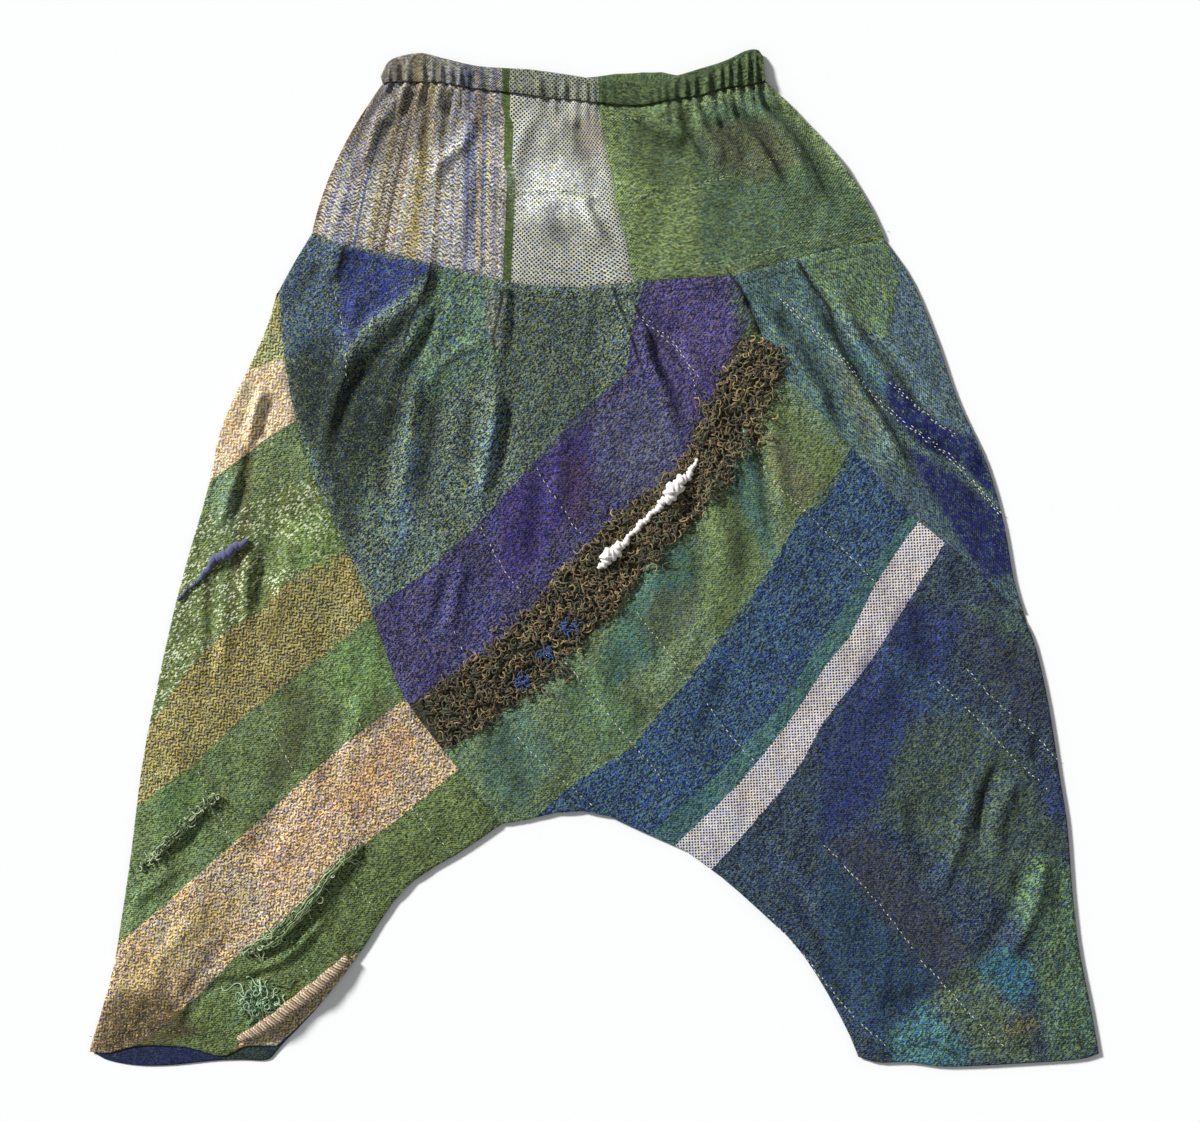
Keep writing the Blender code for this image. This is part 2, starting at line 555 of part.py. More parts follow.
def loop_strip(collection, surface):
    """The loop fringe: a thin backing on the body with a lock raised from each of its cells,
    except where the white yarn lies in it."""
    run = smooth_points(STRIP, STRIP_LENGTH_CELLS + 1)
    normal = sideways(run[:, :2])
    share = np.linspace(-0.5, 0.5, STRIP_WIDTH_CELLS + 1)
    yarn = smooth_points([(k.x, k.y) for k in WHITE_SLUB], 40)
    bm = bmesh.new()
    bmesh.ops.create_grid(bm, x_segments=STRIP_WIDTH_CELLS, y_segments=STRIP_LENGTH_CELLS, size=1.0)
    bm.verts.ensure_lookup_table()
    for i, row in enumerate(run):
        ragged = 1.0 + STRIP_RAGGED * math.sin(RAGGED_PACE[0] * i) * math.cos(RAGGED_PACE[1] * i)
        for j, s in enumerate(share):
            x, y = row[:2] + normal[i] * s * row[2] * ragged
            bm.verts[i * len(share) + j].co = (x, y, surface.height(x, y, STRIP_REACH) + TRIM_CLEARANCE)
    raised = bmesh.ops.extrude_face_region(bm, geom=bm.faces)
    top = [item for item in raised["geom"] if isinstance(item, bmesh.types.BMVert)]
    bmesh.ops.translate(bm, verts=top, vec=(0.0, 0.0, STRIP_BACKING))
    top_set = set(top)
    cells = [f for f in bm.faces if all(v in top_set for v in f.verts)]
    centres = np.array([f.calc_center_median()[:2] for f in cells])
    clear = nearest(centres, yarn)[0] > STRIP_CLEAR_OF_YARN
    locks = [f for f, keep in zip(cells, clear) if keep]
    poked = bmesh.ops.poke(bm, faces=locks)
    for i, vert in enumerate(sorted(poked["verts"], key=lambda v: (round(v.co.x, 5), round(v.co.y, 5)))):
        swing = math.sin(LOOP_SWING[0] * i) * LOOP_SWING[1]
        vert.co.z += LOOP_HEIGHT * (LOOP_LOWEST + (1.0 - LOOP_LOWEST) * (swing - math.floor(swing)))
        vert.co.x += LOOP_LEAN * math.sin(LEAN_PACE * i)
        vert.co.y -= LOOP_LEAN
    bmesh.ops.triangulate(bm, faces=bm.faces)
    return new_object("loop_pile_strip", bm, collection)


def yarn(name, knots, collection, surface):
    """A thick yarn lying on what is below it, as a tube whose radius follows its knots."""
    run = smooth_points([(k.x, k.y, k.radius) for k in knots], YARN_POINTS)
    curve = bpy.data.curves.new(name, "CURVE")
    curve.dimensions = "3D"
    curve.bevel_depth = 1.0
    curve.bevel_resolution = 2
    curve.use_fill_caps = True
    spline = curve.splines.new("POLY")
    spline.points.add(len(run) - 1)
    for point, (x, y, radius) in zip(spline.points, run):
        height = surface.height(x, y, radius + YARN_STEP) + TRIM_CLEARANCE + radius
        point.co = (x, y, height, 1.0)
        point.radius = radius
    obj = bpy.data.objects.new(name, curve)
    collection.objects.link(obj)
    return finish(obj, name)


def thread_tangle(collection, surface):
    """The outer form of a small tangle of threads on the left leg."""
    bm = bmesh.new()
    bmesh.ops.create_uvsphere(bm, u_segments=12, v_segments=8, radius=0.5)
    x, y = TANGLE_CENTRE
    height = surface.height(x, y, TANGLE_SIZE[1] / 3) + TRIM_CLEARANCE + TANGLE_SIZE[2] / 2
    for vert in bm.verts:
        vert.co = Vector((vert.co.x * TANGLE_SIZE[0] + x, vert.co.y * TANGLE_SIZE[1] + y,
                          vert.co.z * TANGLE_SIZE[2] + height))
    return new_object("green_thread_tangle", bm, collection)


def clear_scene():
    """Remove the objects that the file opens with."""
    for obj in list(bpy.data.objects):
        bpy.data.objects.remove(obj, do_unlink=True)


def main():
    """Build the trousers: the back, the front panels on it, and what lies on those."""
    clear_scene()
    collection = bpy.data.collections.new("baggy_trousers")
    bpy.context.scene.collection.children.link(collection)
    for name, outline in back_outlines().items():
        flat_wall(name, outline, collection, CASING_CLOTH if name == "waistband_back" else CLOTH)
    last = len(STATIONS) - 1
    front = [
        cloth_wall("waistband_front", waist_grid(0, last), collection, CASING_LIE, CASING_CLOTH),
        cloth_wall("yoke_front_striped", yoke_grid(0, YOKE_SPLIT), collection),
        cloth_wall("yoke_front_green", yoke_grid(YOKE_SPLIT, last), collection),
        cloth_wall("leg_front_left", leg_grid(), collection),
        cloth_wall("body_front", body_grid(), collection),
        cloth_wall("hip_front_right", hip_grid(), collection),
    ]
    surface = Surface(front)
    surface.add(loop_strip(collection, surface))
    yarn("white_slub_yarn", WHITE_SLUB, collection, surface)
    yarn("blue_slub_yarn", BLUE_SLUB, collection, surface)
    yarn("green_float_upper", FLOAT_UPPER, collection, surface)
    yarn("green_float_lower", FLOAT_LOWER, collection, surface)
    yarn("tan_rolled_edge", ROLLED_EDGE, collection, surface)
    thread_tangle(collection, surface)


main()
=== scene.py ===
"""Baggy drop-crotch trousers of handwoven cloth, laid flat with the front up.

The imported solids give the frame. Each panel is rebuilt here as a fine cloth shell on its
solid's form, from the same edges and the same table of folds, with its bands, weave, seams
and stitches. Left and right are the viewer's, with the waist at +Y and the surface at z = 0.
"""

import logging
import math
from dataclasses import dataclass
from enum import Enum
from typing import Any, Callable, Sequence

import bpy
import numpy as np
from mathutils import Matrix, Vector


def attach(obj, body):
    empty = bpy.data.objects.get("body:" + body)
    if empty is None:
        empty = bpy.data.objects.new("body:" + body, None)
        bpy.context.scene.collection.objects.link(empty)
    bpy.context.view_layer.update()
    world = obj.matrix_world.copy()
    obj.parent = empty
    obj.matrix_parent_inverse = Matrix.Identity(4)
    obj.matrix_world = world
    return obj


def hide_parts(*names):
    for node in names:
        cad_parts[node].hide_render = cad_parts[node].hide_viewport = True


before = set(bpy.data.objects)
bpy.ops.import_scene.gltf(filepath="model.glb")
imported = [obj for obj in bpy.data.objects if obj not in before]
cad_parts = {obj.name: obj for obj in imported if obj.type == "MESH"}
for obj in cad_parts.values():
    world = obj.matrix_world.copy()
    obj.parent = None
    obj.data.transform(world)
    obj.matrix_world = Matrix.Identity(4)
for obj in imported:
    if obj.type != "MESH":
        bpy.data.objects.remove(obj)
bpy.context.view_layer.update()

LOG = logging.getLogger("trousers")

Run = Sequence[tuple[float, ...]]
Colour = tuple[float, float, float]

# Runs in the tables are in millimetres, and the heights of folds and the heights and half
# widths of creases in tenths of one
MM = 1000
TENTHS = 10000


def mm(*numbers: float) -> Run:
    """Plan points in metres, from the two coordinates of each in millimetres."""
    return tuple((x / MM, y / MM) for x, y in zip(numbers[0::2], numbers[1::2]))


def runs(*rows: Sequence[float]) -> tuple[Run, ...]:
    """Several runs of plan points, one a row."""
    return tuple(mm(*row) for row in rows)


def srgb(red: int, green: int, blue: int) -> Colour:
    """A colour written as a screen shows it, made linear for the shaders."""
    parts = (c / 255.0 for c in (red, green, blue))
    return tuple(c / 12.92 if c <= 0.04045 else ((c + 0.055) / 1.055) ** 2.4 for c in parts)


# The cloth's sizes, the same as the solids'

CLOTH = 0.0018
CASING_CLOTH = 0.0034
SEAM_GAP = 0.0003
FRONT_LIE = CLOTH + SEAM_GAP
CASING_LIE = CASING_CLOTH + SEAM_GAP
PUFF = 0.0036
PUFF_REACH = 0.035
CREASE_FULL = 0.0045
STROKE_DEPTH = 1.7
FOLD_LIMIT = 0.0085
EDGE_ROUND = 0.0024
SEAM_VALLEY = 0.0009
SEAM_VALLEY_REACH = 0.0035
EDGE_MARKS = (0.0007, 0.0019)
MARK_REACH = 0.010

# How far lines of stitches are from the yoke's seam and the hems
OVER_SEAM = 0.0125
UNDER_SEAM = 0.0105
RIGHT_HEM_DEPTH = 0.016
LEFT_HEM_DEPTH = 0.0145

# Each row is a line down the gathers: waist edge, casing's seam, yoke's lower seam, bow
STATIONS = tuple((*mm(*row[:6]), row[6] / MM) for row in (
    (-196, 443, -194, 436, -259, 299, -9),
    (-186, 458, -186, 437, -229, 287, -5),
    (-160, 464, -160, 437, -193, 281, -2),
    (-137, 459, -137, 436, -149, 270, 0),
    (-105, 452, -107, 431, -109, 261, 0),
    (-59, 449, -59, 425, -68, 252, 0),
    (-22, 444, -22, 421, -18, 249, 0),
    (5, 440, 3, 418, 37, 253, 0),
    (42, 438, 42, 416, 70, 256, 1),
    (70, 442, 72, 421, 100, 258, 3),
    (98, 450, 98, 425, 130, 260, 5),
    (120, 457, 118, 431, 165, 270, 7),
    (139, 466, 136, 433, 201, 279, 10),
    (150, 467, 150, 436, 235, 287, 12),
    (155, 461, 157, 438, 267, 293, 14)))
TOP, CASING, SEAM, BOW = range(4)
YOKE_SPLIT = 7
HIP_SPLIT = 10
BACK_STATION = 6
BACK_RISE = mm(-10, 0, 20, 7, 45, 9, 62, 7, 78, 0)

LEFT_HIP = mm(-259, 299, -276, 271, -289, 247)
LEG_SEAM = mm(-289, 247, -284, 186, -273, 127, -251, 62, -219, -9, -197, -67, -174, -127, -130, -186,
    -85, -244)
ARCH = mm(-85, -244, -62, -240, -37, -234, -13, -232, 12, -236, 42, -250, 83, -268)
RIGHT_INSEAM = mm(83, -268, 121, -296, 160, -331, 185, -355, 209, -390, 233, -434, 243, -458)
LEFT_INSEAM = mm(-85, -244, -120, -268, -166, -296, -190, -323, -212, -358, -235, -389, -262, -420,
    -292, -448)
LEFT_OUTLINE = mm(-289, 247, -305, 201, -320, 170, -343, 118, -355, 63, -371, 8, -386, -48, -404, -130,
    -416, -195, -425, -268, -433, -323, -442, -378, -458, -434, -464, -453)
HIP_SEAM = mm(130, 260, 150, 215, 175, 168, 228, 112, 285, 46, 334, 5, 391, -49)
RIGHT_HIP = mm(267, 293, 292, 256, 315, 201, 334, 146, 360, 90, 376, 35, 386, -20, 395, -49)
RIGHT_OUTLINE = mm(391, -49, 404, -75, 417, -130, 428, -200, 435, -245, 440, -310, 446, -360, 456, -410,
    464, -455)
LEFT_HEM = mm(-464, -453, -445, -454, -418, -448, -376, -449, -342, -457, -320, -448, -292, -448)
LEFT_BACK_HEM = mm(-462, -453, -448, -461, -421, -466, -390, -466, -350, -462, -325, -461, -300, -461,
    -290, -450)
RIGHT_HEM = mm(243, -458, 262, -463, 290, -463, 328, -467, 410, -463, 447, -460, 464, -455)
LEG_TIP = (-0.2915, 0.2430)
BACK_MIDDLE = mm(-18, 249, -14, 10, -13, -232)

# Rows that two neighbouring edges share, as the solids share them
HIP_OUTLINE_ROWS = 2
LEG_SEAM_ROWS = 22
ARCH_ROWS = 7
INSEAM_ROWS = 12

# The share of a grid over which its first and last lines fade into the rows between
TOP_FADE = 0.30
BOTTOM_FADE = 0.12

# Folds, the same as the solids': start, end, bow, height in tenths, west width, east width
FOLDS = tuple((*mm(*row[:4]), row[4] / MM, row[5] / TENTHS, row[6] / MM, row[7] / MM) for row in (
    (-229, 285, -243, 248, 0, 40, 20, 6),
    (-149, 268, -176, 190, 2, 60, 26, 6),
    (-80, 253, -89, 160, 1, 60, 26, 6),
    (18, 249, 54, 140, 3, 60, 6, 24),
    (37, 225, 92, 112, -4, 40, 6, 18),
    (125, 260, 154, 205, 2, 45, 7, 20),
    (181, 275, 290, 100, 8, 65, 7, 26),
    (-166, 236, -262, 158, 6, 30, 14, 16),
    (-136, 230, -200, 110, 4, 30, 12, 14),
    (-92, 185, -104, 60, 3, 28, 12, 12),
    (235, 220, 300, 120, 4, 35, 12, 8),
    (262, 135, 322, 18, 4, 35, 14, 9),
    (318, 4, 343, -94, 3, 30, 14, 10),
    (153, 86, 170, 0, 2, 22, 10, 10),
    (372, -184, 352, -272, 2, 28, 16, 12),
    (412, -275, 372, -372, 3, 28, 18, 14),
    (20, -140, 105, -262, 4, 22, 20, 18),
    (-60, -150, -20, -225, 3, 22, 18, 20),
    (-150, 60, -120, -80, 6, 20, 22, 22),
    (210, -300, 275, -430, 2, 24, 20, 18),
    (-330, 110, -352, -20, 4, 24, 16, 18),
    (-262, 20, -300, -130, 6, 22, 20, 22),
    (-380, -100, -405, -280, 3, 24, 16, 18),
    (-210, -240, -330, -400, 8, 26, 22, 18),
    (-345, -220, -395, -420, 4, 26, 18, 20),
    (-186, 434, -214, 380, 3, 30, 6, 10),
    (-172, 434, -198, 398, 2, 28, 6, 8),
    (-142, 425, -151, 350, -3, 34, 6, 10),
    (-41, 418, -42, 375, 0, 28, 6, 8),
    (50, 402, 88, 372, 1, 22, 10, 8),
    (89, 420, 106, 350, 3, 30, 8, 8),
    (116, 414, 192, 322, 6, 42, 10, 7),
    (140, 428, 233, 322, 8, 40, 12, 8),
    (-186, 466, -185, 434, 1, 16, 6, 4),
    (-166, 468, -172, 432, 1, 16, 5, 5),
    (-144, 462, -146, 430, 0, 14, 5, 5),
    (-118, 456, -121, 428, 0, 12, 6, 5),
    (-86, 454, -88, 424, 0, 10, 6, 5),
    (-52, 451, -51, 420, 0, 16, 6, 4),
    (-26, 448, -27, 418, 0, 12, 6, 5),
    (20, 444, 19, 414, 0, 10, 7, 6),
    (60, 444, 60, 414, 0, 12, 7, 6),
    (84, 450, 83, 418, 0, 16, 5, 4),
    (103, 456, 101, 422, 1, 14, 5, 4),
    (124, 462, 122, 428, 1, 16, 5, 4),
    (142, 467, 141, 431, 1, 16, 4, 4)))

# Creases and rolls on the folds: height (a trough is negative) and half width in tenths, and
# where they run
STROKES = tuple((row[0] / TENTHS, row[1] / TENTHS, mm(*row[2:])) for row in (
    (30, 74, -159, 245, -178, 230, -211, 208, -225, 188, -233, 154, -245, 124, -251, 90, -251, 65),
    (-26, 74, -164, 218, -189, 193, -213, 169, -230, 139, -237, 102),
    (26, 55, -144, 238, -159, 213, -178, 184, -189, 154, -198, 124),
    (-26, 55, -136, 238, -148, 213, -161, 188, -174, 155),
    (20, 46, -107, 198, -128, 189, -144, 173, -153, 150),
    (24, 64, -159, 173, -167, 139, -171, 102, -176, 65, -178, 26),
    (-20, 74, -178, 146, -186, 109, -191, 72, -193, 35),
    (-20, 74, -142, 155, -145, 118, -153, 81, -156, 45),
    (26, 55, -90, 160, -92, 124, -99, 90, -102, 65, -107, 40),
    (-22, 74, -75, 155, -79, 118, -86, 81, -92, 54),
    (-18, 55, -109, 146, -112, 109, -118, 72),
    (-20, 46, -132, -9, -142, -47, -149, -75),
    (20, 55, -121, -1, -128, -38, -136, -75),
    (-16, 74, -47, 81, -54, 17, -59, -20),
    (16, 74, -31, 118, -35, 72, -42, 26),
    (-24, 55, -247, 273, -266, 247, -278, 229),
    (20, 55, -217, 245, -224, 215, -236, 192),
    (-26, 55, 50, 210, 61, 175, 76, 149, 83, 124, 85, 100),
    (24, 55, 42, 215, 50, 183, 63, 150, 70, 118),
    (22, 64, 75, 210, 92, 178, 109, 150),
    (-30, 46, 138, 240, 151, 217, 160, 196),
    (28, 74, 145, 238, 167, 206, 190, 173, 210, 141, 224, 114),
    (-30, 64, 164, 232, 185, 206, 202, 185, 215, 160, 227, 124, 237, 95),
    (30, 74, 180, 242, 203, 218, 228, 181, 250, 146, 267, 118, 286, 81),
    (-40, 46, 187, 271, 200, 250, 215, 230, 222, 206, 241, 175, 262, 139, 282, 108, 298, 72, 316, 46),
    (34, 74, 208, 256, 231, 224, 243, 196, 261, 169, 286, 138, 314, 109),
    (-32, 46, 234, 221, 249, 204, 267, 185, 285, 165, 305, 134),
    (26, 64, 252, 219, 272, 196, 295, 169, 318, 141, 337, 118),
    (26, 64, 288, 134, 318, 115, 344, 98, 364, 77),
    (-26, 64, 309, 109, 332, 81, 360, 54, 374, 35),
    (-32, 46, 150, 141, 148, 111, 156, 72, 161, 34, 167, 2),
    (26, 74, 162, 127, 164, 100, 171, 63, 177, 26),
    (24, 92, 102, 82, 109, 46, 118, 8, 120, -31),
    (-20, 92, 130, 91, 136, 45, 142, -1, 142, -38),
    (-20, 92, 88, 54, 94, 8, 98, -38),
    (16, 92, 52, 26, 56, -11, 52, -57),
    (-18, 83, 24, -75, 42, -130, 52, -167),
    (18, 83, -4, -84, 10, -130, 15, -172),
    (16, 83, -68, -149, -45, -185, -31, -218),
    (-16, 83, -86, -162, -68, -199, -59, -227),
    (-36, 46, 372, -184, 361, -210, 355, -242, 356, -268),
    (30, 83, 385, -195, 374, -227, 368, -259, 370, -287),
    (26, 74, 347, -199, 339, -236, 332, -268, 318, -296, 305, -319),
    (-30, 37, 408, -159, 404, -191),
    (26, 83, 415, -268, 408, -305, 394, -342, 374, -374),
    (-22, 74, 392, -277, 385, -314, 364, -351, 351, -374),
    (-20, 83, 286, -213, 300, -268, 305, -305),
    (-20, 64, 180, -296, 203, -342, 222, -388, 236, -425),
    (18, 83, 157, -250, 190, -296, 217, -342),
    (-16, 92, 254, -415, 309, -399, 360, -383),
    (18, 92, 272, -57, 268, -103, 252, -149),
    (-18, 83, 295, -38, 305, -84, 302, -130),
    (18, 83, 337, -29, 360, -75, 383, -112),
    (-16, 92, 98, -167, 114, -130, 130, -89),
    (16, 92, 61, -130, 88, -75, 125, -29),
    (26, 46, -302, 161, -311, 137, -316, 111, -319, 95),
    (-22, 46, -313, 164, -322, 137, -328, 109),
    (-22, 46, -292, 150, -301, 127, -305, 103),
    (-26, 55, -314, 102, -320, 73, -328, 43, -332, 26),
    (22, 64, -326, 81, -335, 54, -344, 26),
    (24, 64, -314, 8, -320, -21, -320, -43, -322, -75),
    (-22, 55, -302, 12, -305, -20, -307, -57),
    (-20, 55, -351, -15, -351, -68, -355, -103),
    (20, 74, -339, -29, -340, -75, -346, -121),
    (22, 92, -275, 35, -282, -1, -291, -38, -298, -75),
    (-20, 83, -229, -130, -243, -185, -254, -222),
    (18, 92, -213, -121, -223, -167, -229, -204),
    (-18, 92, -280, -185, -298, -241, -321, -287),
    (18, 92, -257, -195, -270, -241, -289, -282),
    (-13, 60, -426, -325, -408, -314, -388, -299, -367, -288),
    (12, 60, -429, -314, -408, -303, -385, -285),
    (-28, 46, -379, -434, -361, -401, -341, -389, -320, -389, -285, -370),
    (26, 46, -316, -380, -293, -371, -270, -354, -238, -319),
    (20, 74, -408, -406, -399, -369, -376, -342, -353, -319),
    (-20, 74, -390, -425, -372, -397, -349, -365, -330, -337),
    (18, 74, -436, -369, -427, -333, -408, -296),
    (-30, 37, -177, 437, -201, 416, -212, 395, -224, 365),
    (26, 55, -190, 413, -204, 385, -215, 353),
    (26, 55, -107, 413, -121, 380, -142, 362, -149, 339),
    (-28, 46, -151, 437, -153, 403, -154, 376, -148, 348),
    (-22, 37, -131, 431, -136, 402),
    (-20, 37, -165, 431, -173, 402),
    (-18, 46, -103, 357, -109, 321, -110, 293),
    (18, 55, -229, 339, -238, 311, -243, 293),
    (22, 64, -50, 414, -67, 385, -75, 353, -77, 321),
    (-26, 64, -18, 402, -7, 376, -2, 356),
    (26, 46, -13, 332, -2, 307, 11, 286),
    (-24, 46, -2, 332, 10, 307, 22, 286),
    (-20, 74, -39, 327, -29, 302, -20, 279),
    (-24, 32, -43, 437, -41, 411, -40, 379),
    (-20, 37, -35, 433, -31, 418, -28, 402),
    (-40, 37, 84, 418, 89, 392, 99, 376, 106, 356),
    (30, 55, 95, 413, 103, 392, 114, 374, 120, 356),
    (-30, 64, 39, 407, 57, 386, 85, 371, 99, 367),
    (28, 74, 52, 413, 68, 396, 88, 383),
    (-26, 37, 112, 405, 125, 389, 138, 371, 140, 357),
    (-34, 46, 123, 414, 148, 397, 159, 382, 171, 358, 189, 327),
    (30, 55, 134, 416, 160, 401, 177, 382, 190, 357, 203, 330),
    (-40, 46, 150, 420, 171, 405, 192, 384, 207, 358, 218, 334, 236, 310),
    (32, 55, 162, 426, 188, 411, 210, 387, 226, 359, 245, 328),
    (18, 74, 6, 357, 33, 334, 52, 316)))

# Where a pleat's folded edge lies on the cloth below it, with a painted shadow along each
PLEAT_EDGES = runs(
    (-229, 285, -232, 270, -237, 253),
    (-149, 267, -154, 247, -164, 225, -172, 206, -178, 188, -186, 169),
    (-83, 245, -87, 225, -92, 201, -88, 173, -86, 163),
    (18, 247, 24, 230, 33, 208, 39, 188, 48, 163, 53, 154),
    (39, 230, 51, 206, 61, 184),
    (125, 260, 138, 240, 151, 217),
    (187, 271, 200, 250, 215, 230, 222, 206, 241, 175))

# How deep the waist's gathers are along it, and their spacing
GATHERS = (
    (-0.20, 0.0018), (-0.13, 0.0016), (-0.08, 0.0009), (-0.05, 0.0008), (-0.03, 0.0018), (0.00, 0.0008),
    (0.03, 0.0003), (0.06, 0.0007), (0.09, 0.0020), (0.16, 0.0020))
GATHER_SPACING = 0.0094
GATHER_REACH = 0.060


# Curves and distances in plan


def spline(points: np.ndarray, shares: np.ndarray) -> np.ndarray:
    """Sample a smooth curve through points at the same shares of each interval.

    Args:
        points: the curve's own points, one a row.
        shares: where to sample each interval, from 0 to less than 1.

    Returns:
        An array with a row for each sample, and the last point.
    """
    padded = np.vstack([2 * points[0] - points[1], points, 2 * points[-1] - points[-2]])
    curve = []
    for a, b, c, d in zip(padded[:-3], padded[1:-2], padded[2:-1], padded[3:]):
        for t in shares:
            curve.append(0.5 * (2 * b + (c - a) * t + (2 * a - 5 * b + 4 * c - d) * t * t
                                + (3 * b - a - 3 * c + d) * t ** 3))
    return np.array(curve + [points[-1]])


def travelled(line: np.ndarray) -> np.ndarray:
    """Length along a line up to each of its points."""
    return np.concatenate([[0.0], np.cumsum(np.linalg.norm(np.diff(line, axis=0), axis=1))])


def resampled(line: np.ndarray, along: np.ndarray, marks: np.ndarray) -> np.ndarray:
    """A line's points at other places, where along gives the place of each point it has."""
    return np.column_stack([np.interp(marks, along, line[:, k]) for k in range(line.shape[1])])


def smooth_run(points: Run, count: int) -> np.ndarray:
    """Sample a smooth curve through points evenly.

    Args:
        points: the curve's own points, two or more numbers each.
        count: how many samples to take, both ends included.

    Returns:
        An array with a row for each sample.
    """
    line = spline(np.array(points, dtype=float), np.linspace(0.0, 1.0, 12, endpoint=False))
    along = travelled(line[:, :2])
    return resampled(line, along, np.linspace(0.0, along[-1], count))


def station_line(column: int, steps: int) -> np.ndarray:
    """Points along one line of the station table, with so many steps to an interval."""
    return spline(np.array([row[column] for row in STATIONS]), np.arange(steps) / steps)


def joined(*runs: np.ndarray) -> np.ndarray:
    """One run of points from several that follow each other end to start."""
    return np.vstack([runs[0]] + [run[1:] for run in runs[1:]])


def nearest(points: np.ndarray, path: np.ndarray) -> tuple[np.ndarray, np.ndarray, np.ndarray]:
    """Measure points against a run.

    Args:
        points: plan points, one a row.
        path: the run's points.

    Returns:
        The distance to the run, the share of its length there, and a number that is
        positive on the left of its direction.
    """
    best = np.full(len(points), 1e9)
    share = np.zeros(len(points))
    side = np.zeros(len(points))
    lengths = np.linalg.norm(np.diff(path, axis=0), axis=1)
    along = np.concatenate([[0.0], np.cumsum(lengths)])
    for i, (a, b) in enumerate(zip(path[:-1], path[1:])):
        step = b - a
        offset = points - a
        t = np.clip(offset @ step / max(float(step @ step), 1e-12), 0.0, 1.0)
        offset = offset - t[:, None] * step
        distance = np.hypot(offset[:, 0], offset[:, 1])
        closer = distance < best
        best = np.where(closer, distance, best)
        share = np.where(closer, (along[i] + t * lengths[i]) / along[-1], share)
        side = np.where(closer, step[0] * offset[:, 1] - step[1] * offset[:, 0], side)
    return best, share, side


def eased(x: np.ndarray) -> np.ndarray:
    """Smooth step from 0 at x = 0 to 1 at x = 1."""
    x = np.clip(x, 0.0, 1.0)
    return x * x * (3.0 - 2.0 * x)


def ripple(points: np.ndarray, length: float, seed: int) -> np.ndarray:
    """Smooth uneven waves of about one length, from -1 to 1.

    Args:
        points: plan points, one a row.
        length: the waves' length in metres.
        seed: picks another set of waves.

    Returns:
        A value for each point.
    """
    draw = np.random.default_rng(seed)
    total = np.zeros(len(points))
    for _ in range(7):
        turn, phase = draw.uniform(0, math.tau, 2)
        pace = math.tau / (length * draw.uniform(0.7, 1.5))
        total += np.sin(pace * (points[:, 0] * math.cos(turn) + points[:, 1] * math.sin(turn)) + phase)
    return total / 4.0


def inside(points: np.ndarray, corners: Run, soft: float) -> np.ndarray:
    """How far points are inside a closed outline: 1 inside, 0 outside, soft at its edge."""
    loop = np.array(list(corners) + [corners[0]], dtype=float)
    within = np.zeros(len(points), dtype=bool)
    for (x0, y0), (x1, y1) in zip(loop[:-1], loop[1:]):
        spans = (y0 > points[:, 1]) != (y1 > points[:, 1])
        cross = x0 + (points[:, 1] - y0) * (x1 - x0) / (y1 - y0 if y1 != y0 else 1e-12)
        within ^= spans & (points[:, 0] < cross)
    distance = nearest(points, loop)[0]
    return eased(0.5 + np.where(within, distance, -distance) / (2 * soft))


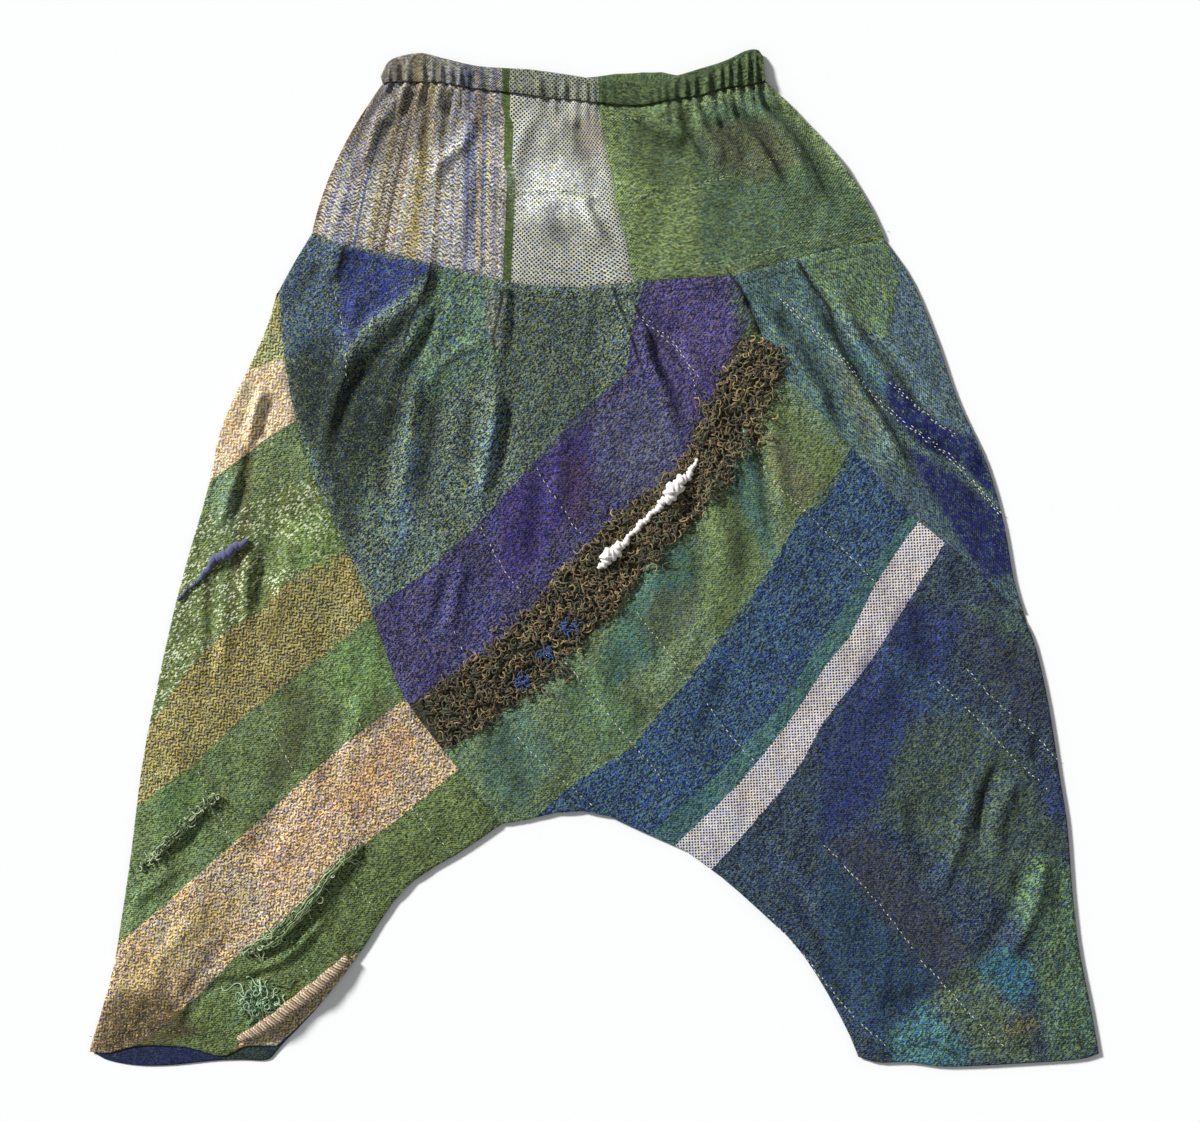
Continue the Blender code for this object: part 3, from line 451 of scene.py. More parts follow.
class Relief:
    """The height of the front layer over the surface, with its folds, seams and edges."""

    def __init__(self) -> None:
        """Lay out the outline, the seams and the pleats' edges."""
        self.outline = self.silhouette()
        seam = station_line(SEAM, 6)
        self.seams = [
            seam, smooth_run(LEG_SEAM, 60), smooth_run(HIP_SEAM, 50),
            np.array([STATIONS[YOKE_SPLIT][CASING], STATIONS[YOKE_SPLIT][SEAM]]),
            station_line(CASING, 6),
        ]
        self.yoke_seam = seam
        self.pleats = [smooth_run(edge, 12) for edge in PLEAT_EDGES]
        self.strokes = [(height, width, smooth_run(run, 9)) for height, width, run in STROKES]

    @staticmethod
    def silhouette() -> np.ndarray:
        """The front's outline as one closed run of points."""
        return np.vstack([
            station_line(TOP, 6), smooth_run(RIGHT_HIP, 24), smooth_run(RIGHT_OUTLINE, 40),
            smooth_run(RIGHT_HEM, 24)[::-1], smooth_run(RIGHT_INSEAM, 30)[::-1],
            smooth_run(ARCH, 24)[::-1], smooth_run(LEFT_INSEAM, 30), smooth_run(LEFT_HEM, 24)[::-1],
            smooth_run(LEFT_OUTLINE, 60)[::-1], smooth_run(LEFT_HIP, 5)[::-1],
            station_line(TOP, 6)[:1]])

    @staticmethod
    def folds(points: np.ndarray) -> np.ndarray:
        """Height that the folds add at each plan point; a pleat is sharpest at its root."""
        total = np.zeros(len(points))
        for start, end, bow, height, west, east in FOLDS:
            a, b = np.array(start), np.array(end)
            path = smooth_run((a, (a + b) / 2 + np.array([bow, 0.0]), b), 9)
            distance, share, side = nearest(points, path)
            width = np.where(side > 0, east, west)
            narrow = np.minimum(west, east)
            width = np.where(width <= narrow + 1e-9, width * (0.55 + 0.45 * share), width)
            ends = eased(share / 0.12 + 0.45) * eased((1.0 - share) / 0.45)
            total += height * np.exp(-(distance / width) ** 2) * ends
        return FOLD_LIMIT * np.tanh(total / FOLD_LIMIT)

    def creases(self, points: np.ndarray) -> np.ndarray:
        """Troughs and rolls on the folds, each deepest in its middle."""
        total = np.zeros(len(points))
        for height, width, run in self.strokes:
            reach = 2.4 * width
            close = np.all((points > run.min(0) - reach) & (points < run.max(0) + reach), axis=1)
            if not close.any():
                continue
            distance, share, _ = nearest(points[close], run)
            ends = eased(share / 0.22 + 0.15) * eased((1.0 - share) / 0.30)
            total[close] += STROKE_DEPTH * height * np.exp(-(distance / width) ** 2) * ends
        return total

    @staticmethod
    def gathers(points: np.ndarray) -> np.ndarray:
        """Small upright folds that the elastic draws at the waist, fading down the yoke."""
        table = np.array(GATHERS)
        depth = np.interp(points[:, 0], table[:, 0], table[:, 1])
        casing = station_line(CASING, 6)
        below = np.clip(np.interp(points[:, 0], casing[:, 0], casing[:, 1]) - points[:, 1], 0.0, None)
        spread = 1.0 + 1.7 * below
        x = (points[:, 0] / spread + 0.0022 * np.sin(points[:, 0] * 95.0)
             + 0.0012 * np.sin(points[:, 0] * 210.0))
        wave = np.cos(math.tau * x / GATHER_SPACING)
        return depth * (wave + 0.35 * wave * wave) * (1.0 - eased(below / GATHER_REACH))

    def surfaces(self, points: np.ndarray, lie: float, cloth: float) -> tuple[np.ndarray, np.ndarray]:
        """Find the front's upper and lower surface.

        Args:
            points: plan points, one a row.
            lie: height of the underside at the garment's edge.
            cloth: the cloth's thickness there.

        Returns:
            The heights of the upper and of the lower surface at each point.
        """
        edge = nearest(points, self.outline)[0]
        seam = np.min([nearest(points, s)[0] for s in self.seams], axis=0)
        puff = PUFF * eased(edge / PUFF_REACH)
        round_off = np.sqrt(1.0 - (1.0 - np.clip(edge / EDGE_ROUND, 0.0, 1.0)) ** 2)
        valley = SEAM_VALLEY * (1.0 - eased(seam / SEAM_VALLEY_REACH))
        uneven = 0.0011 * ripple(points, 0.050, 3) + 0.0007 * ripple(points * (1.0, 0.4), 0.022, 5)
        relief = self.folds(points) + self.creases(points) + self.gathers(points) + uneven
        lower = lie + puff + relief * eased(edge / 0.012) - 0.3 * valley
        lower = np.maximum(lower, lie - 0.0002)
        return np.maximum(lower + cloth * (0.25 + 0.75 * round_off) - 0.7 * valley, lower + 0.0005), lower


RELIEF = Relief()


# Grids of plan points for the panels


def row_marks(rows: int, steps: int, length: float) -> np.ndarray:
    """Places of a fine grid's rows, counted in the solids' rows, with two more at each end."""
    even = np.linspace(0.0, rows, rows * steps + 1)
    near = np.array(EDGE_MARKS) * rows / length
    return np.unique(np.concatenate([even, near, rows - near]))


def ruled(left: np.ndarray, right: np.ndarray, columns: int, steps: int,
          top: np.ndarray | None = None, bottom: np.ndarray | None = None) -> np.ndarray:
    """Grid whose rows cross from the left edge to the right edge.

    Args:
        left: the left edge's points, one for each of the solid's rows.
        right: the right edge's points, as many.
        columns: how many even columns the fine grid has.
        steps: how many fine rows replace one of the solid's.
        top: the first row's own line, which fades into the straight rows below it.
        bottom: the last row's own line, likewise.

    Returns:
        An array of rows, columns and the two plan coordinates.
    """
    rows = len(left) - 1
    length = np.linalg.norm(np.diff(left, axis=0), axis=1).sum()
    marks = row_marks(rows, steps, length)
    count = np.arange(rows + 1)
    a, b = resampled(left, count, marks), resampled(right, count, marks)
    width = np.maximum(np.linalg.norm(b - a, axis=1), 4 * EDGE_MARKS[-1])[:, None]
    near = np.array(EDGE_MARKS)[None, :] / width
    even = np.linspace(0.0, 1.0, columns + 1)[None, 1:-1]
    middle = near[:, -1:] + (1.0 - 2 * near[:, -1:]) * even
    share = np.hstack([np.zeros_like(width), near, middle, 1.0 - near[:, ::-1], np.ones_like(width)])
    grid = a[:, None, :] + (b - a)[:, None, :] * share[:, :, None]
    v = marks / rows
    for edge, row, fade in ((top, 0, np.clip(1 - v / TOP_FADE, 0, 1)),
                            (bottom, -1, np.clip(1 - (1 - v) / BOTTOM_FADE, 0, 1))):
        if edge is not None:
            whole = np.linalg.norm(np.diff(edge, axis=0), axis=1).sum()
            line = resampled(edge, travelled(edge) / whole, share[row])
            grid += (line - grid[row])[None, :, :] * (fade ** 2)[:, None, None]
    return grid


def body_plan() -> np.ndarray:
    """Plan grid of the body, whose rows fan from the yoke seam round the crotch to the hem."""
    left = joined(
        smooth_run(LEFT_HIP, HIP_OUTLINE_ROWS + 1), smooth_run(LEG_SEAM, LEG_SEAM_ROWS + 1),
        smooth_run(ARCH, ARCH_ROWS + 1), smooth_run(RIGHT_INSEAM, INSEAM_ROWS + 1))
    right = joined(
        smooth_run(HIP_SEAM, HIP_OUTLINE_ROWS + LEG_SEAM_ROWS + 1),
        smooth_run(RIGHT_OUTLINE, ARCH_ROWS + INSEAM_ROWS + 1))
    seam = station_line(SEAM, 8)[:HIP_SPLIT * 8 + 1]
    return ruled(left, right, 128, 7, top=seam, bottom=smooth_run(RIGHT_HEM, 60))


def leg_plan() -> np.ndarray:
    """Plan grid of the left leg's front, from its tip at the hip to the hem."""
    right = joined(smooth_run(LEG_SEAM, LEG_SEAM_ROWS + 1), smooth_run(LEFT_INSEAM, INSEAM_ROWS + 1))
    left = smooth_run(LEFT_OUTLINE, len(right))
    left[0] = LEG_TIP
    return ruled(left, right, 64, 8, bottom=smooth_run(LEFT_HEM, 60))


def hip_plan() -> np.ndarray:
    """Plan grid of the right hip's wedge, from the yoke seam to its tip."""
    seam = station_line(SEAM, 8)[HIP_SPLIT * 8:]
    left = smooth_run(HIP_SEAM, HIP_OUTLINE_ROWS + LEG_SEAM_ROWS + 1)
    return ruled(left, smooth_run(RIGHT_HIP, len(left)), 48, 7, top=seam)


def band_between(upper: np.ndarray, lower: np.ndarray, rows: int,
                 bow: np.ndarray | None = None) -> np.ndarray:
    """Grid between two lines with the same number of points, bowed sideways in the middle.

    Args:
        upper: the first row.
        lower: the last row.
        rows: how many even rows lie between them.
        bow: sideways bow of each column.

    Returns:
        An array of rows, columns and the two plan coordinates.
    """
    length = float(np.linalg.norm(lower - upper, axis=1).mean())
    near = np.array(EDGE_MARKS) / length
    share = np.unique(np.concatenate([np.linspace(0.0, 1.0, rows + 1), near, 1.0 - near]))[:, None, None]
    grid = upper[None] * (1 - share) + lower[None] * share
    if bow is not None:
        grid[:, :, 0] += bow[None] * (4 * share * (1 - share))[:, :, 0]
    return grid


def sharpened(line: np.ndarray) -> np.ndarray:
    """A line with two more points close to each end, for rounded edges there."""
    along, near = travelled(line), np.array(EDGE_MARKS)
    return resampled(line, along, np.unique(np.concatenate([along, near, along[-1] - near])))


def waist_lines(column_a: int, column_b: int, first: int, last: int, steps: int) -> tuple[np.ndarray, ...]:
    """Two station lines between two stations, with their bow, sampled alike.

    Args:
        column_a: the station table's column for the upper line.
        column_b: the column for the lower line.
        first: the first station.
        last: the last station.
        steps: samples in each interval.

    Returns:
        The upper line, the lower line and each column's bow.
    """
    span = slice(first * steps, last * steps + 1)
    upper, lower = station_line(column_a, steps)[span], station_line(column_b, steps)[span]
    marks = np.arange(len(STATIONS)) * steps
    bow = np.interp(np.arange(marks[-1] + 1), marks, [row[BOW] for row in STATIONS])[span]
    both = sharpened(np.column_stack([upper, lower, bow]))
    return both[:, 0:2], both[:, 2:4], both[:, 4]


def yoke_plan(first: int, last: int) -> np.ndarray:
    """Plan grid of the yoke between two stations."""
    upper, lower, bow = waist_lines(CASING, SEAM, first, last, 11)
    return band_between(upper, lower, 56, bow)


def casing_plan(back: bool) -> np.ndarray:
    """Plan grid of the casing's front, or of its back, which rises higher in the middle."""
    upper, lower, _ = waist_lines(TOP, CASING, 0, len(STATIONS) - 1, 18)
    if back:
        rise = np.array(BACK_RISE)
        upper = upper.copy()
        upper[:, 1] += np.interp(upper[:, 0], rise[:, 0], rise[:, 1])
    return band_between(upper, lower, 9)


def back_leg_plan(right_leg: bool) -> np.ndarray:
    """Plan grid of one leg's back, between the centre seam and the side."""
    centre = smooth_run(BACK_MIDDLE, 21)
    arch = smooth_run(ARCH, 15)
    split = int(np.argmin(np.linalg.norm(arch - centre[-1], axis=1)))
    arch[split] = centre[-1]
    seam = station_line(SEAM, 8)
    if right_leg:
        inner = joined(centre, arch[split:], smooth_run(RIGHT_INSEAM, 14))
        outer = joined(smooth_run(RIGHT_HIP, 16), smooth_run(RIGHT_OUTLINE, len(inner) - 15))
        return ruled(inner, outer, 60, 3, top=seam[BACK_STATION * 8:], bottom=smooth_run(RIGHT_HEM, 40))
    inner = joined(centre, arch[:split + 1][::-1], smooth_run(LEFT_INSEAM, 14))
    outer = joined(smooth_run(LEFT_HIP, 4), smooth_run(LEFT_OUTLINE, len(inner) - 3))
    return ruled(outer, inner, 60, 3, top=seam[:BACK_STATION * 8 + 1], bottom=smooth_run(LEFT_BACK_HEM, 40))


# Bands: the lines where one colour of weft ends and the next begins, from the top down


LEG_EDGES = runs(
    (-311, 177, -285, 184),
    (-352, 71, -323, 92, -294, 115, -272, 127),
    (-361, 36, -262, 76),
    (-399, -142, -372, -102, -341, -69, -304, -46, -271, -11, -238, 5),
    (-416, -223, -370, -188, -328, -148, -292, -119, -243, -82, -208, -53),
    (-435, -351, -396, -318, -349, -276, -297, -230, -240, -178, -201, -148, -176, -129),
    (-408, -434, -362, -398, -328, -362, -293, -335, -261, -305, -214, -261, -168, -225, -127, -191),
    (-328, -447, -307, -421, -271, -401, -240, -380, -224, -364, -196, -352))
BODY_EDGES = runs(
    (-197, -42, -155, -13, -108, 29, -72, 69, -40, 105, -18, 130, 29, 168, 37, 223, 46, 253),
    (-153, -123, -123, -103, -90, -82, -63, -56, -32, -17, 4, 23, 37, 52, 66, 74, 91, 94, 91, 118, 109,
     149, 115, 173, 129, 195, 144, 215),
    (-132, -172, -108, -159, -76, -134, -45, -105, -18, -82, 17, -51, 42, -10, 63, 11, 91, 34, 97, 72,
     120, 83, 130, 114, 145, 135, 164, 158, 175, 168),
    (-45, -230, -18, -206, 37, -172, 64, -137, 91, -107, 118, -69, 127, -54, 154, -21, 167, 0, 187, 36,
     223, 78, 234, 99),
    (67, -240, 122, -190, 170, -138, 238, -34, 285, 32),
    (75, -262, 132, -207, 170, -161, 192, -130, 211, -99, 234, -72, 257, -23, 295, 32),
    (109, -284, 132, -258, 170, -214, 193, -182, 208, -152, 225, -130, 252, -96, 285, -44, 320, 13))
YOKE_EDGES = runs(
    (-84, 240, -79, 340, -83, 436, -82, 500),
    (-78, 240, -74, 340, -79, 436, -77, 500),
    (41, 240, 38.5, 253, 22, 330, 4.5, 418, 3, 500))

# Rows of small stitches of thick white thread that run across the bands
DASHES = runs(
    (-237, 244, -228, 197, -226, 163),
    (-164, 255, -167, 235),
    (-113, 242, -109, 226),
    (40, 221, 71, 196, 95, 168),
    (46, 221, 79, 190, 98, 141),
    (-52, 81, -37, 58, -6, 13),
    (-103, 27, -83, -9, -67, -31),
    (133, 127, 153, 96),
    (135, 122, 164, 72, 195, 42, 234, 3, 259, -23),
    (-128, -67, -117, -90),
    (-25, -96, -1, -125, 17, -148, 37, -172, 51, -187, 62, -203),
    (-72, -161, -45, -190, -18, -212, -3, -226),
    (40, -51, 64, -82, 84, -110),
    (104, -134, 126, -163, 146, -185),
    (211, -264, 235, -287, 270, -328, 299, -367, 322, -392, 351, -425, 375, -446),
    (343, -103, 369, -131, 401, -158, 425, -184),
    (316, -114, 354, -149, 386, -184, 416, -211),
    (161, -328, 211, -387, 240, -422, 267, -446),
    (-240, -93, -223, -132, -214, -152),
    (-303, -135, -288, -171, -274, -196),
    (-364, -191, -357, -209, -344, -235, -331, -261),
    (-166, -230, -147, -253, -130, -270),
    (-217, -302, -200, -322),
    (-282, -354, -266, -375, -253, -385))
HIP_DASHES = runs(
    (168, 241, 225, 185, 244, 165, 273, 133, 328, 92, 372, 42),
    (271, 160, 303, 133, 330, 113))
YOKE_CHAINS = runs(
    (-197, 350, -142, 342, -79, 335, -43, 336, -17, 335, 21, 327, 97, 343, 143, 358, 187, 374),
    (13, 403, 40, 403, 68, 403, 94, 415, 122, 419, 148, 425))


# Shader maths


class Value:
    """A number in a material's nodes; arithmetic on it adds Math nodes."""

    def __init__(self, graph: "Graph", socket: bpy.types.NodeSocket) -> None:
        """Keep the graph and the socket that gives the number."""
        self.graph = graph
        self.socket = socket

    def __add__(self, other: "Value | float") -> "Value":
        """Sum."""
        return self.graph.math("ADD", self, other)

    __radd__ = __add__

    def __sub__(self, other: "Value | float") -> "Value":
        """Difference."""
        return self.graph.math("SUBTRACT", self, other)

    def __rsub__(self, other: "Value | float") -> "Value":
        """Difference from a plain number."""
        return self.graph.math("SUBTRACT", other, self)

    def __mul__(self, other: "Value | float") -> "Value":
        """Product."""
        return self.graph.math("MULTIPLY", self, other)

    __rmul__ = __mul__

    def __truediv__(self, other: "Value | float") -> "Value":
        """Quotient."""
        return self.graph.math("DIVIDE", self, other)

    def __gt__(self, other: "Value | float") -> "Value":
        """1 where this is greater, else 0."""
        return self.graph.math("GREATER_THAN", self, other)

    def floor(self) -> "Value":
        """Whole part."""
        return self.graph.math("FLOOR", self)

    def fract(self) -> "Value":
        """Part after the point."""
        return self.graph.math("FRACT", self)

    def size(self) -> "Value":
        """Without its sign."""
        return self.graph.math("ABSOLUTE", self)

    def clamped(self) -> "Value":
        """Kept from 0 to 1."""
        return self.graph.node("ShaderNodeClamp", {}, {"Value": self}).value("Result")

    def smooth(self, low: float, high: float) -> "Value":
        """Smooth step from 0 at low to 1 at high."""
        settings = {"interpolation_type": "SMOOTHSTEP"}
        inputs = {"Value": self, "From Min": low, "From Max": high}
        return self.graph.node("ShaderNodeMapRange", settings, inputs).value("Result")


class NodeUse:
    """A node that was added, for reading its outputs."""

    def __init__(self, graph: "Graph", node: bpy.types.Node) -> None:
        """Keep the graph and the node."""
        self.graph = graph
        self.node = node

    def value(self, output: str | int) -> Value:
        """An output as a number."""
        return Value(self.graph, self.node.outputs[output])

    def socket(self, output: str | int) -> bpy.types.NodeSocket:
        """An output as it is."""
        return self.node.outputs[output]


class Graph:
    """A material's nodes, with one method that adds any node."""

    def __init__(self, name: str) -> None:
        """Start an empty material."""
        self.material = bpy.data.materials.new(name)
        self.material.use_nodes = True
        self.tree = self.material.node_tree
        self.tree.nodes.clear()

    def node(self, kind: str, settings: dict[str, Any], inputs: dict[str | int, Any]) -> NodeUse:
        """Add a node.

        Args:
            kind: the node's type.
            settings: its own settings, set first; "stops" fills a ramp with (place, colour).
            inputs: values or links for its sockets.

        Returns:
            The node, for reading its outputs.
        """
        node = self.tree.nodes.new(kind)
        for key, setting in settings.items():
            if key == "stops":
                self.fill_ramp(node.color_ramp, setting)
            elif key == "ramp":
                node.color_ramp.interpolation = setting
            else:
                setattr(node, key, setting)
        for key, item in inputs.items():
            socket = node.inputs[key]
            if isinstance(item, Value):
                self.tree.links.new(item.socket, socket)
            elif isinstance(item, bpy.types.NodeSocket):
                self.tree.links.new(item, socket)
            else:
                opaque = len_of(item) == 3 and len_of(socket.default_value) == 4
                socket.default_value = (*item, 1.0) if opaque else item
        return NodeUse(self, node)

    @staticmethod
    def fill_ramp(ramp: bpy.types.ColorRamp, stops: Sequence[tuple[float, Colour]]) -> None:
        """Set a ramp's stops."""
        while len(ramp.elements) < len(stops):
            ramp.elements.new(1.0)
        for element, (place, colour) in zip(ramp.elements, stops):
            element.position = place
            element.color = (*colour, 1.0)

    def math(self, operation: str, *values: Value | float) -> Value:
        """Add a Math node on numbers and links."""
        return self.node("ShaderNodeMath", {"operation": operation}, dict(enumerate(values))).value(0)

    def mix(self, factor: Value | float, a: Any, b: Any, blend: str = "MIX") -> bpy.types.NodeSocket:
        """Mix two colours; "MULTIPLY" as blend shades the first by the second."""
        settings = {"data_type": "RGBA", "blend_type": blend}
        return self.node("ShaderNodeMix", settings, {0: factor, 6: a, 7: b}).socket(2)

    def ramp(self, value: Value, stops: Sequence[tuple[float, Colour]], kind: str = "LINEAR") -> NodeUse:
        """Add a colour ramp."""
        return self.node("ShaderNodeValToRGB", {"ramp": kind, "stops": stops}, {"Fac": value})

    def grey(self, tone: Value) -> bpy.types.NodeSocket:
        """A grey from one number."""
        return self.node("ShaderNodeCombineColor", {}, {0: tone, 1: tone, 2: tone}).socket(0)

    def pair(self, x: Value, y: Value) -> bpy.types.NodeSocket:
        """A vector from two numbers."""
        return self.node("ShaderNodeCombineXYZ", {}, {"X": x, "Y": y}).socket(0)

    def hash(self, x: Value, y: Value) -> Value:
        """A number from 0 to 1 that is new for each pair of whole numbers."""
        settings = {"noise_dimensions": "2D"}
        return self.node("ShaderNodeTexWhiteNoise", settings, {"Vector": self.pair(x, y)}).value("Value")

    def noise(self, where: bpy.types.NodeSocket, scale: float, detail: float) -> Value:
        """Smooth noise about 0.5."""
        inputs = {"Vector": where, "Scale": scale, "Detail": detail}
        return self.node("ShaderNodeTexNoise", {"noise_dimensions": "3D"}, inputs).value(0)

    def attribute(self, name: str) -> NodeUse:
        """Read one of the piece's attributes."""
        return self.node("ShaderNodeAttribute", {"attribute_name": name}, {})

    def cloth(self) -> tuple[Value, Value, bpy.types.NodeSocket]:
        """The place on the cloth: along the weft, along the warp, and both as a vector."""
        place = self.node("ShaderNodeUVMap", {"uv_map": "cloth"}, {}).socket(0)
        parts = self.node("ShaderNodeSeparateXYZ", {}, {0: place})
        return parts.value("X"), parts.value("Y"), place

    def surface(self, colour: Any, height: Value, depth: float, rough: Value | float,
                sheen: float) -> bpy.types.Material:
        """End the graph with a fibre surface.

        Args:
            colour: the base colour.
            height: the fine relief, from 0 to 1.
            depth: the relief's depth in metres.
            rough: roughness.
            sheen: how much the fibres' nap catches the light.

        Returns:
            The finished material.
        """
        bumps = {"Strength": 0.85, "Distance": depth, "Height": height}
        bump = self.node("ShaderNodeBump", {}, bumps).socket(0)
        inputs = {"Base Color": colour, "Roughness": rough, "Sheen Weight": sheen, "Sheen Roughness": 0.6,
                  "Specular IOR Level": 0.18, "Normal": bump}
        shader = self.node("ShaderNodeBsdfPrincipled", {}, inputs).socket(0)
        self.node("ShaderNodeOutputMaterial", {}, {"Surface": shader})
        return self.material


def len_of(item: Any) -> int:
    """Length of a sequence, or 0 for a plain value."""
    return len(item) if hasattr(item, "__len__") and not isinstance(item, str) else 0


# Finishes


# How single yarns differ in hue, as factors on the cloth's colour
MELANGE = ((0.0, (1.0, 1.0, 1.0)), (0.26, (1.50, 1.38, 0.60)), (0.46, (0.55, 0.74, 1.60)),
           (0.62, (0.45, 0.45, 0.50)), (0.80, (1.25, 1.45, 1.05)), (0.93, (1.9, 1.8, 1.6)))
# How broad warp stripes tint the cloth, how far a patch's dark and light yarns go, and the flecks
PLAID_TINTS = ((0.30, (0.78, 0.74, 0.62)), (0.50, (0.98, 1.0, 0.98)), (0.68, (0.86, 1.10, 1.22)))
DYED_DARK, DYED_LIGHT = (0.34, 0.34, 0.34), (1.60, 1.60, 1.60)
FLECK = srgb(212, 216, 184)
CHECK_CENTRE, CHECK_GAIN, CHECK_MEAN = 0.40, 2.6, 0.48


@dataclass(frozen=True)
class Band:
    """One band of weft: its light and dark yarns, and how its surface is."""

    light: Colour
    dark: Colour
    twill: float
    nap: float
    flecks: float = 0.0
    chunky: float = 0.0
    check: float = 0.0


@dataclass(frozen=True)
class WovenCloth:
    """Handwoven cloth whose bands, weave, dye, painted shade and painted shadow come from its UV map and
    attributes.
    """

    name: str
    bands: tuple[Band, ...]
    stripes: tuple[Colour, ...] = ()
    striped: float = 0.0
    plaid: float = 0.35
    fine_pitch: float = 0.00062
    tick: float = 0.0038
    thick_pitch: float = 0.00098
    zigzag: float = 0.0040
    sheen: float = 0.05

    def stops(self, pick: Callable[[Band], Colour]) -> list[tuple[float, Colour]]:
        """Ramp stops that give each band its own colour."""
        return [(i / len(self.bands), pick(band)) for i, band in enumerate(self.bands)]

    def material(self) -> bpy.types.Material:
        """Build the material.

        Returns:
            The material, with weave, nap, flecks, stripes, dye, patches of painted shade, painted crease
            shade, painted shadow along the pleats' edges and painted shade along the stitch lines.
        """
        g = Graph(self.name)
        u, v, place = g.cloth()
        mottle = g.noise(place, 150.0, 4.0)
        broad = g.noise(place, 14.0, 2.0)
        which = (g.attribute("band").value("Fac") + (mottle - 0.5) * 0.05) / len(self.bands)
        light = g.ramp(which, self.stops(lambda b: b.light), "CONSTANT").socket(0)
        dark = g.ramp(which, self.stops(lambda b: b.dark), "CONSTANT").socket(0)
        kinds = g.ramp(which, self.stops(lambda b: (b.twill, b.nap, b.flecks)), "CONSTANT").socket(0)
        kind = g.node("ShaderNodeSeparateColor", {}, {0: kinds})
        twill, nap, flecks = kind.value(0), kind.value(1), kind.value(2)
        look = g.node("ShaderNodeSeparateColor", {}, {
            0: g.ramp(which, self.stops(lambda b: (b.chunky, b.check, 0.0)), "CONSTANT").socket(0)})
        chunky, check = look.value(0), look.value(1)

        fine = self.twill_lines(u + v, self.fine_pitch)
        bent = (v + ((u / (2 * self.zigzag)).fract() - 0.5).size() * (2 * self.zigzag))
        thick = self.twill_lines(bent, self.thick_pitch)
        ticked = (self.twill_lines(u, self.tick / 4) - self.twill_lines(v, self.tick / 4)).size()
        weave = fine + (thick - fine) * chunky
        weave = weave + ((CHECK_CENTRE - ticked) * CHECK_GAIN + CHECK_MEAN - weave) * check
        pitch_u, pitch_v = 0.0030, 0.0011
        shifted = u / pitch_u + g.hash((v / pitch_v).floor(), v * 0.0)
        fibre = g.hash(shifted.floor(), (v / pitch_v).floor())
        fluff = g.noise(place, 820.0, 3.0)
        tuft = g.noise(place, 520.0, 2.0)
        blend = (0.46 + (weave - 0.5) * twill * 1.5 + (fibre - 0.5) * (0.75 + 0.45 * nap)
                 + (fluff - 0.5) * (2.4 + 2.2 * nap) + (tuft - 0.5) * (0.8 + 3.2 * nap)).clamped()
        if self.stripes:
            light, dark = self.with_stripes(g, u, light, dark)
        colour = g.mix(blend, dark, light)
        across = g.noise(g.pair(u, u * 0.0 + 3.7), 26.0, 2.0)
        tint = g.ramp(across, PLAID_TINTS)
        colour = g.mix(self.plaid, colour, g.mix(1.0, colour, tint.socket(0), "MULTIPLY"))
        # Dye patches, and patches of painted shade in the folds' troughs and at the left hem
        dye = g.attribute("dye")
        patch_colour = g.mix(1.0, g.mix(blend, DYED_DARK, DYED_LIGHT), dye.socket("Color"), "MULTIPLY")
        taken = dye.value("Alpha") * (0.85 + (mottle - 0.5) * 1.6 + (fibre - 0.5) * 0.8)
        colour = g.mix(taken.clamped(), colour, patch_colour)
        hue = g.hash((u / 0.0022).floor(), (v / 0.0012).floor() + 7.0)
        grain = g.ramp(hue, MELANGE, "CONSTANT").socket(0)
        colour = g.mix((0.30 + nap * 0.70).clamped(), colour, g.mix(1.0, colour, grain, "MULTIPLY"))
        speck = g.hash((u / 0.0021).floor(), (v / 0.0011).floor())
        on = (speck - 1.0 + flecks * 0.15).smooth(0.0, 0.004)
        on = on * (g.noise(place, 30.0, 1.0) - 0.30).smooth(0.0, 0.22)
        colour = g.mix(on * 0.85, colour, FLECK)
        slit = g.attribute("slit")
        parts = g.node("ShaderNodeSeparateXYZ", {}, {0: slit.socket("Vector")})
        # Painted shadow along each pleat's folded edge, fading down the pleat
        pleat = (1.0 - parts.value(0).size().smooth(0.0003, 0.0030)) * parts.value(1)
        # Painted shade in the groove along each line of stitches
        stitch_groove_shade = (1.0 - parts.value(2).size().smooth(0.0002, 0.0012))
        # Crease shade: lighter on the ridges, darker in the troughs; partly dye rubbed pale on the ridges,
        # partly painted highlight and painted shade
        wear_and_shade = g.attribute("wear").value("Fac")
        tone = (0.84 + broad * 0.32 + 0.30 * wear_and_shade) * (1.0 - 0.80 * pleat) * (1.0 - 0.38 * stitch_groove_shade)
        colour = g.mix(1.0, colour, g.grey(tone), "MULTIPLY")
        relief = (weave * 0.45 + fibre * 0.25 + fluff * (0.4 + nap) - pleat * 1.5 - stitch_groove_shade * 1.2)
        return g.surface(colour, relief, 0.00014, 0.92 - 0.10 * weave, self.sheen)

    @staticmethod
    def twill_lines(across: Value, pitch: float) -> Value:
        """Lines that repeat each four yarns, from 0 to 1."""
        return ((across / (4 * pitch)).fract() * 2.0 - 1.0).size()

    def with_stripes(self, g: Graph, u: Value, light: Any, dark: Any) -> tuple[Any, Any]:
        """Colour narrow warp stripes in the first band.

        Args:
            g: the material's graph.
            u: place across the stripes.
            light: the light yarn's colour so far.
            dark: the dark yarn's colour so far.

        Returns:
            The two colours with the stripes.
        """
        index = g.attribute("band").value("Fac")
        cell = g.hash((u / 0.0046).floor(), u * 0.0 + 1.0)
        fine = g.hash((u / 0.0023).floor(), u * 0.0 + 5.0)
        count = len(self.stripes)
        hue = g.ramp(cell, [(i / count, c) for i, c in enumerate(self.stripes)], "CONSTANT").socket(0)
        deep = g.mix(1.0, hue, (0.24, 0.24, 0.24), "MULTIPLY")
        first = (1.0 - (index > 1.0)) * self.striped
        dull = g.mix(1.0, hue, (0.92, 0.92, 0.92), "MULTIPLY")
        shine = g.mix(fine, dull, g.mix(0.65, hue, srgb(250, 246, 238)))
        return g.mix(first, light, shine), g.mix(first, dark, deep)


